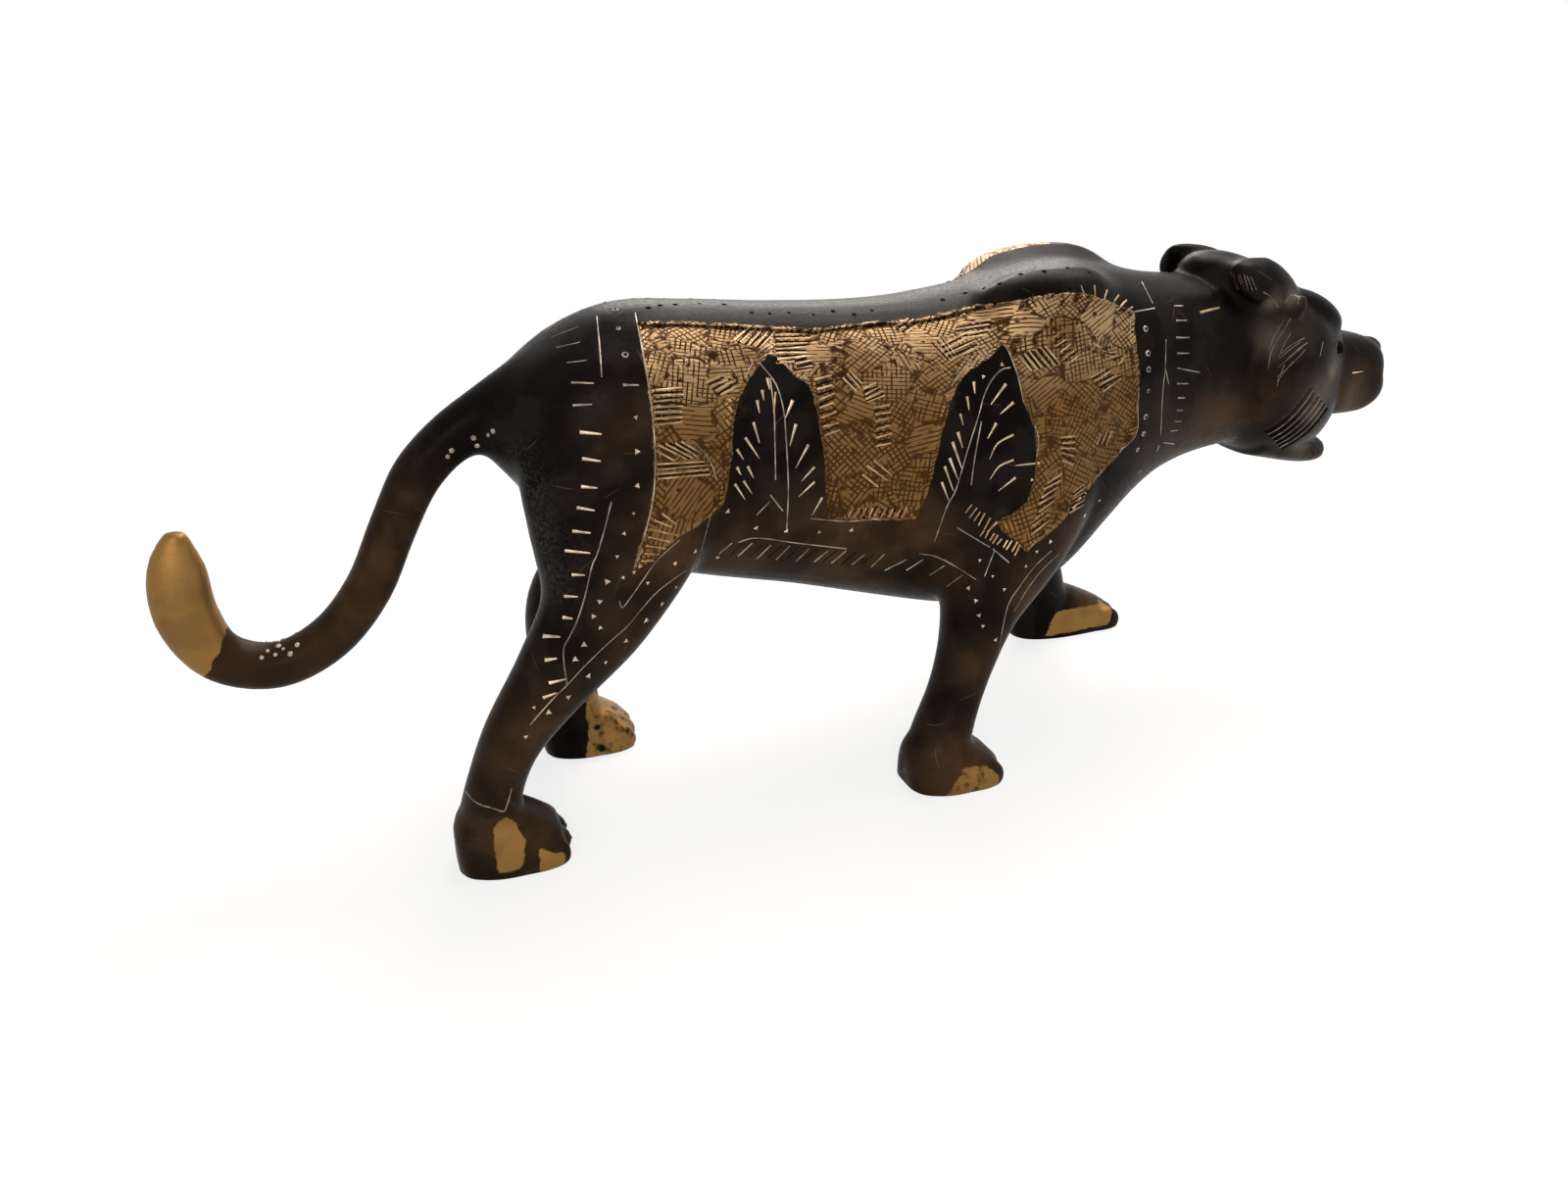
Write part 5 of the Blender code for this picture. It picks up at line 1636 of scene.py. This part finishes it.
    def sweep(self, tone: Tone, tree: bpy.types.NodeTree, finish: bpy.types.Material) -> bpy.types.Object:
        """Make the piece that holds every cut of a tone."""
        points, edges, radii = [], [], []
        for run, sizes in self.cuts[tone]:
            first = len(points)
            points += [place * MM for place in run]
            edges += [(first + k, first + k + 1) for k in range(len(run) - 1)]
            radii += [size * MM for size in sizes]
        mesh = bpy.data.meshes.new(tone.value.name)
        mesh.from_pydata(points, edges, [])
        give_measure(mesh, "radius_here", radii)
        values = {"Sides": self.bead_sides, "Finish": finish}
        return self.grow(tone.value.name + "s", mesh, tree, values)

    def stamp(self, kind: str, tree: bpy.types.NodeTree, values: dict[str, object]) -> bpy.types.Object:
        """Make the piece that holds every mark of a kind."""
        mesh = bpy.data.meshes.new(kind)
        mesh.from_pydata([place * MM for place, _, _ in self.marks[kind]], [], [])
        give_measure(mesh, "facing", [tuple(normal) for _, normal, _ in self.marks[kind]], "FLOAT_VECTOR")
        give_measure(mesh, "size", [size * MM for _, _, size in self.marks[kind]])
        return self.grow(kind, mesh, tree, values)

    def work(self, effects: Effects) -> list[bpy.types.Object]:
        """Cut and punch everything, and make the pieces."""
        strokes = (
            (Tone.FAINT, HAIR_LINES, 0.3, 0.0, Limb.TRUNK),
            (Tone.FAINT, FORE_LEG_LINES, 0.3, 0.0, Limb.FORE),
            (Tone.FAINT, HIND_LEG_LINES, 0.28, 0.0, Limb.HIND),
            (Tone.BRIGHT, VEINS, 0.8, 0.8, Limb.TRUNK),
            (Tone.FAINT, NECK_DASHES, 0.5, 0.5, Limb.TRUNK),
            (Tone.HAIR, FUR_LINES, 0.26, 0.5, Limb.TRUNK),
            # the ear rim lines are painted highlights, drawn in the hair finish
            (Tone.HAIR, FACE_EDGE + EAR_RIM_HIGHLIGHTS, 0.5, 0.4, Limb.TRUNK),
            (Tone.BRIGHT, THIGH_DASHES, 0.95, 0.6, Limb.HIND),
            (Tone.GOLD, GOLD_DASHES, 0.7, 0.3, Limb.TRUNK),
            (Tone.GOLD, GROUND_STROKES, 0.6, 0.3, Limb.TRUNK),
        )
        for tone, paths, width, taper, limb in strokes:
            for path in paths:
                self.cut(tone, path, width, taper, limb)
        self.comb(Tone.HAIR, EAR_COMB, 0.26)
        self.ridges(Tone.FAINT, 0.4)
        for row in COMBS:
            self.comb(Tone.GOLD, row, 0.55)
        self.comb(Tone.FAINT, BELLY_COMB, 0.45)
        punches = (
            ("ring_rims", RINGS, 0.6, Limb.TRUNK),
            ("ring_pits", RINGS, 0.42, Limb.TRUNK),
            ("spine_pits", SPINE_PITS, 0.5, Limb.TRUNK),
            ("triangle_punches", TRUNK_PUNCHES, 0.55, Limb.TRUNK),
            ("triangle_punches", HIND_PUNCHES, 0.6, Limb.HIND),
            ("triangle_punches", FORE_PUNCHES, 0.55, Limb.FORE),
            ("edge_notches", self.trace(NOTCH_ROW)[::3], 0.5, Limb.TRUNK),
            ("cast_specks", CAST_SPECKS, 0.5, Limb.TRUNK),
        )
        for kind, pixels, size, limb in punches:
            self.punch(kind, pixels, size, limb)
        sweep, stamp = self.sweep_tree(), self.stamp_tree()
        finishes = {tone: tone.value.dress(effects) for tone in Tone}
        pieces = [self.sweep(tone, sweep, finish) for tone, finish in finishes.items()]
        stamps = (
            ("ring_rims", 10, 0.8, 0.2, Tone.FAINT),
            ("ring_pits", 8, 0.7, 0.42, Tone.DARK),
            ("spine_pits", 7, 0.9, 0.08, Tone.DARK),
            ("triangle_punches", 3, 0.5, 0.25, Tone.BRIGHT),
            ("edge_notches", 3, 0.6, 0.3, Tone.DARK),
            ("cast_specks", 7, 0.6, 0.4, Tone.FAINT),
        )
        for kind, sides, top, rise, tone in stamps:
            values = {"Sides": sides, "Top": top, "Rise": rise, "Finish": finishes[tone]}
            pieces.append(self.stamp(kind, stamp, values))
        return pieces


@dataclass
class SkinMeasures:
    """Writes on the skin what its finish reads."""

    engraving: Engraving
    shift: Vector
    flanks_apart: float = 50.0
    outside: float = -20.0

    def write(self) -> None:
        """Write every measure."""
        mesh = self.engraving.skin.data
        places = vertex_array(mesh) / MM
        drawn = places - np.array(self.shift)
        give_measure(mesh, "ground", self.ground(drawn))
        give_measure(mesh, "flank", self.flank(drawn), "FLOAT_VECTOR")
        give_measure(mesh, "gilt", self.gilt(places))
        give_measure(mesh, "warm", self.wear_or_highlight(places, WARM))
        give_measure(mesh, "green", self.wear_or_highlight(places, GREEN))
        # the pale measure carries painted highlights and reflections
        give_measure(mesh, "pale", self.wear_or_highlight(places, PAINTED_HIGHLIGHTS))

    def ground(self, drawn: np.ndarray) -> np.ndarray:
        """How deep each point lies in the gold ground of its flank, in millimetres."""
        side = drawn[:, (0, 2)]
        near = np.minimum(signed_distance(side, panel_outline()), np.abs(drawn[:, 1]) - CUTTER_INNER)
        hits = [self.engraving.near(Pixel(*pixel)) for pixel in FAR_EDGE]
        edge = [hit[0] - self.shift for hit in hits if hit]
        ridge = np.interp(drawn[:, 0], [place.x for place in edge], [place.y for place in edge])
        over = np.minimum(signed_distance(side, FAR_TOP), drawn[:, 1] - ridge)
        return np.maximum(near, over)

    def flank(self, drawn: np.ndarray) -> np.ndarray:
        """Place along the body, girth round it and flank, for a pattern that wraps the flank."""
        stations = [cut.x for cut in TRUNK]
        half = np.interp(drawn[:, 0], stations, [cut.half_width for cut in TRUNK])
        girth = drawn[:, 2] + np.clip(half - np.abs(drawn[:, 1]), 0, None)
        return np.stack((drawn[:, 0], girth, np.sign(drawn[:, 1]) * self.flanks_apart), axis=1)

    def gilt(self, places: np.ndarray) -> np.ndarray:
        """How deep each point lies in a filed gold face."""
        best = np.full(len(places), self.outside)
        for face in GOLD_FACES:
            outline = []
            for pair in zip(face.outline[0::2], face.outline[1::2]):
                corner = self.engraving.view.at_depth(Pixel(*pair), face.across)
                outline.append((corner.x, corner.z))
            inside = signed_distance(places[:, (0, 2)], outline)
            across = np.minimum(places[:, 1] - face.low, face.high - places[:, 1])
            best = np.maximum(best, np.minimum(np.minimum(inside, across), face.deepest))
        return best

    def wear_or_highlight(self, places: np.ndarray, spots: Sequence[WearOrHighlightSpot]) -> np.ndarray:
        """How strongly the spots reach each point, on both flanks: wear for brown and green spots, painted
        highlight for pale ones.
        """
        total = np.zeros(len(places))
        for spot in spots:
            hit = self.engraving.near(Pixel(spot.x, spot.y))
            if not hit:
                LOG.warning("no skin at pixel %s, %s", spot.x, spot.y)
                continue
            for twin in (hit[0], Vector((hit[0].x, 2 * self.shift.y - hit[0].y, hit[0].z))):
                away = np.linalg.norm(places - np.array(twin), axis=1) / spot.radius
                total = np.maximum(total, spot.strength * np.exp(-(away**2)))
        return total


# Studio
class Lamp(NamedTuple):
    """An area lamp: its place, what it looks at and its size in millimetres, and its power in watts."""

    name: str
    place: tuple[float, float, float]
    aim: tuple[float, float, float]
    size: tuple[float, float]
    power: float


LAMPS = (
    Lamp("overhead", (270, 190, 600), (10, 0, 60), (560, 380), 6.2),
    Lamp("behind", (250, 620, 380), (10, 0, 80), (500, 260), 2.4),
    Lamp("front", (-260, -520, 360), (0, 0, 60), (300, 200), 1.6),
)


@dataclass
class Studio:
    """A pale table top and backdrop under soft lamps."""

    floor_reach: float = 3000.0
    pale: tuple[float, float, float] = (0.86, 0.86, 0.86)
    kept_shadow: float = 0.24
    shadow_reach: float = 150.0
    white_from: float = 600.0
    ambient: float = 0.45
    lamp_colour: tuple[float, float, float] = (1.0, 0.94, 0.87)
    floor_roughness: float = 0.9

    def floor(self) -> None:
        """The plain pale floor, which looks white but keeps the shadow."""
        bm = bmesh.new()
        bmesh.ops.create_grid(bm, x_segments=1, y_segments=1, size=self.floor_reach * MM)
        floor = as_object("floor", bm)
        material = bpy.data.materials.new("pale_floor")
        material.use_nodes = True
        nodes = Nodes(material.node_tree)
        shader = material.node_tree.nodes["Principled BSDF"]
        shader.inputs["Base Color"].default_value = (*self.pale, 1)
        shader.inputs["Roughness"].default_value = self.floor_roughness
        glow = nodes.add("ShaderNodeEmission")
        mixed = nodes.add("ShaderNodeMixShader")
        away = nodes.vector("LENGTH", nodes.add("ShaderNodeTexCoord").outputs["Object"], value=True)
        glowing = nodes.span(away, self.shadow_reach * MM, self.white_from * MM, 1 - self.kept_shadow, 1.0)
        nodes.feed(mixed.inputs[0], nodes.math("MULTIPLY", self.seen(nodes), glowing))
        nodes.feed(mixed.inputs[1], shader.outputs[0])
        nodes.feed(mixed.inputs[2], glow.outputs[0])
        nodes.feed(material.node_tree.nodes["Material Output"].inputs["Surface"], mixed.outputs[0])
        floor.data.materials.append(material)

    def seen(self, nodes: Nodes) -> bpy.types.NodeSocket:
        """One for rays from the camera, and for those that gloss or glass sends on."""
        path = nodes.add("ShaderNodeLightPath")
        mirrored = nodes.math("MAXIMUM", path.outputs["Is Glossy Ray"], path.outputs["Is Transmission Ray"])
        return nodes.math("MAXIMUM", path.outputs["Is Camera Ray"], mirrored)

    def sky(self) -> None:
        """A white world where it is seen, and a dimmer one as light."""
        world = bpy.data.worlds.new("studio")
        world.use_nodes = True
        bpy.context.scene.world = world
        nodes = Nodes(world.node_tree)
        strength = nodes.span(self.seen(nodes), 0.0, 1.0, self.ambient, 1.0)
        background = world.node_tree.nodes["Background"]
        background.inputs["Color"].default_value = (1, 1, 1, 1)
        nodes.feed(background.inputs["Strength"], strength)

    def hang(self, lamp: Lamp) -> None:
        """Add a lamp to the scene."""
        data = bpy.data.lights.new(lamp.name, "AREA")
        data.shape = "RECTANGLE"
        data.size, data.size_y = lamp.size[0] * MM, lamp.size[1] * MM
        data.energy = lamp.power
        data.color = self.lamp_colour
        light = bpy.data.objects.new(lamp.name, data)
        light.location = Vector(lamp.place) * MM
        look = Vector(lamp.aim) - Vector(lamp.place)
        light.rotation_euler = look.to_track_quat("-Z", "Y").to_euler()
        bpy.context.scene.collection.objects.link(light)

    def build(self) -> None:
        """Set up floor, world and lamps."""
        self.floor()
        self.sky()
        for lamp in LAMPS:
            self.hang(lamp)


def main() -> None:
    """Build the leopard and the studio, and say what each piece holds."""
    bpy.context.scene.view_settings.view_transform = "Standard"
    view = View()
    view.make()
    Studio().build()
    effects = Effects()
    casting = Casting()
    skin = casting.build()
    engraving = Engraving(skin, view, casting.shift)
    SkinMeasures(engraving, casting.shift).write()
    skin.data.materials.append(EngravedPatina().dress(effects))
    pieces = [skin] + engraving.work(effects)
    for piece in pieces:
        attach(piece, "root")
        triangles = sum(len(face.vertices) - 2 for face in piece.data.polygons)
        LOG.info("%s: %d triangles", piece.name, triangles)
    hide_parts(NODE)


if __name__ == "__main__":
    logging.basicConfig(level=logging.INFO, format="%(message)s")
    main()
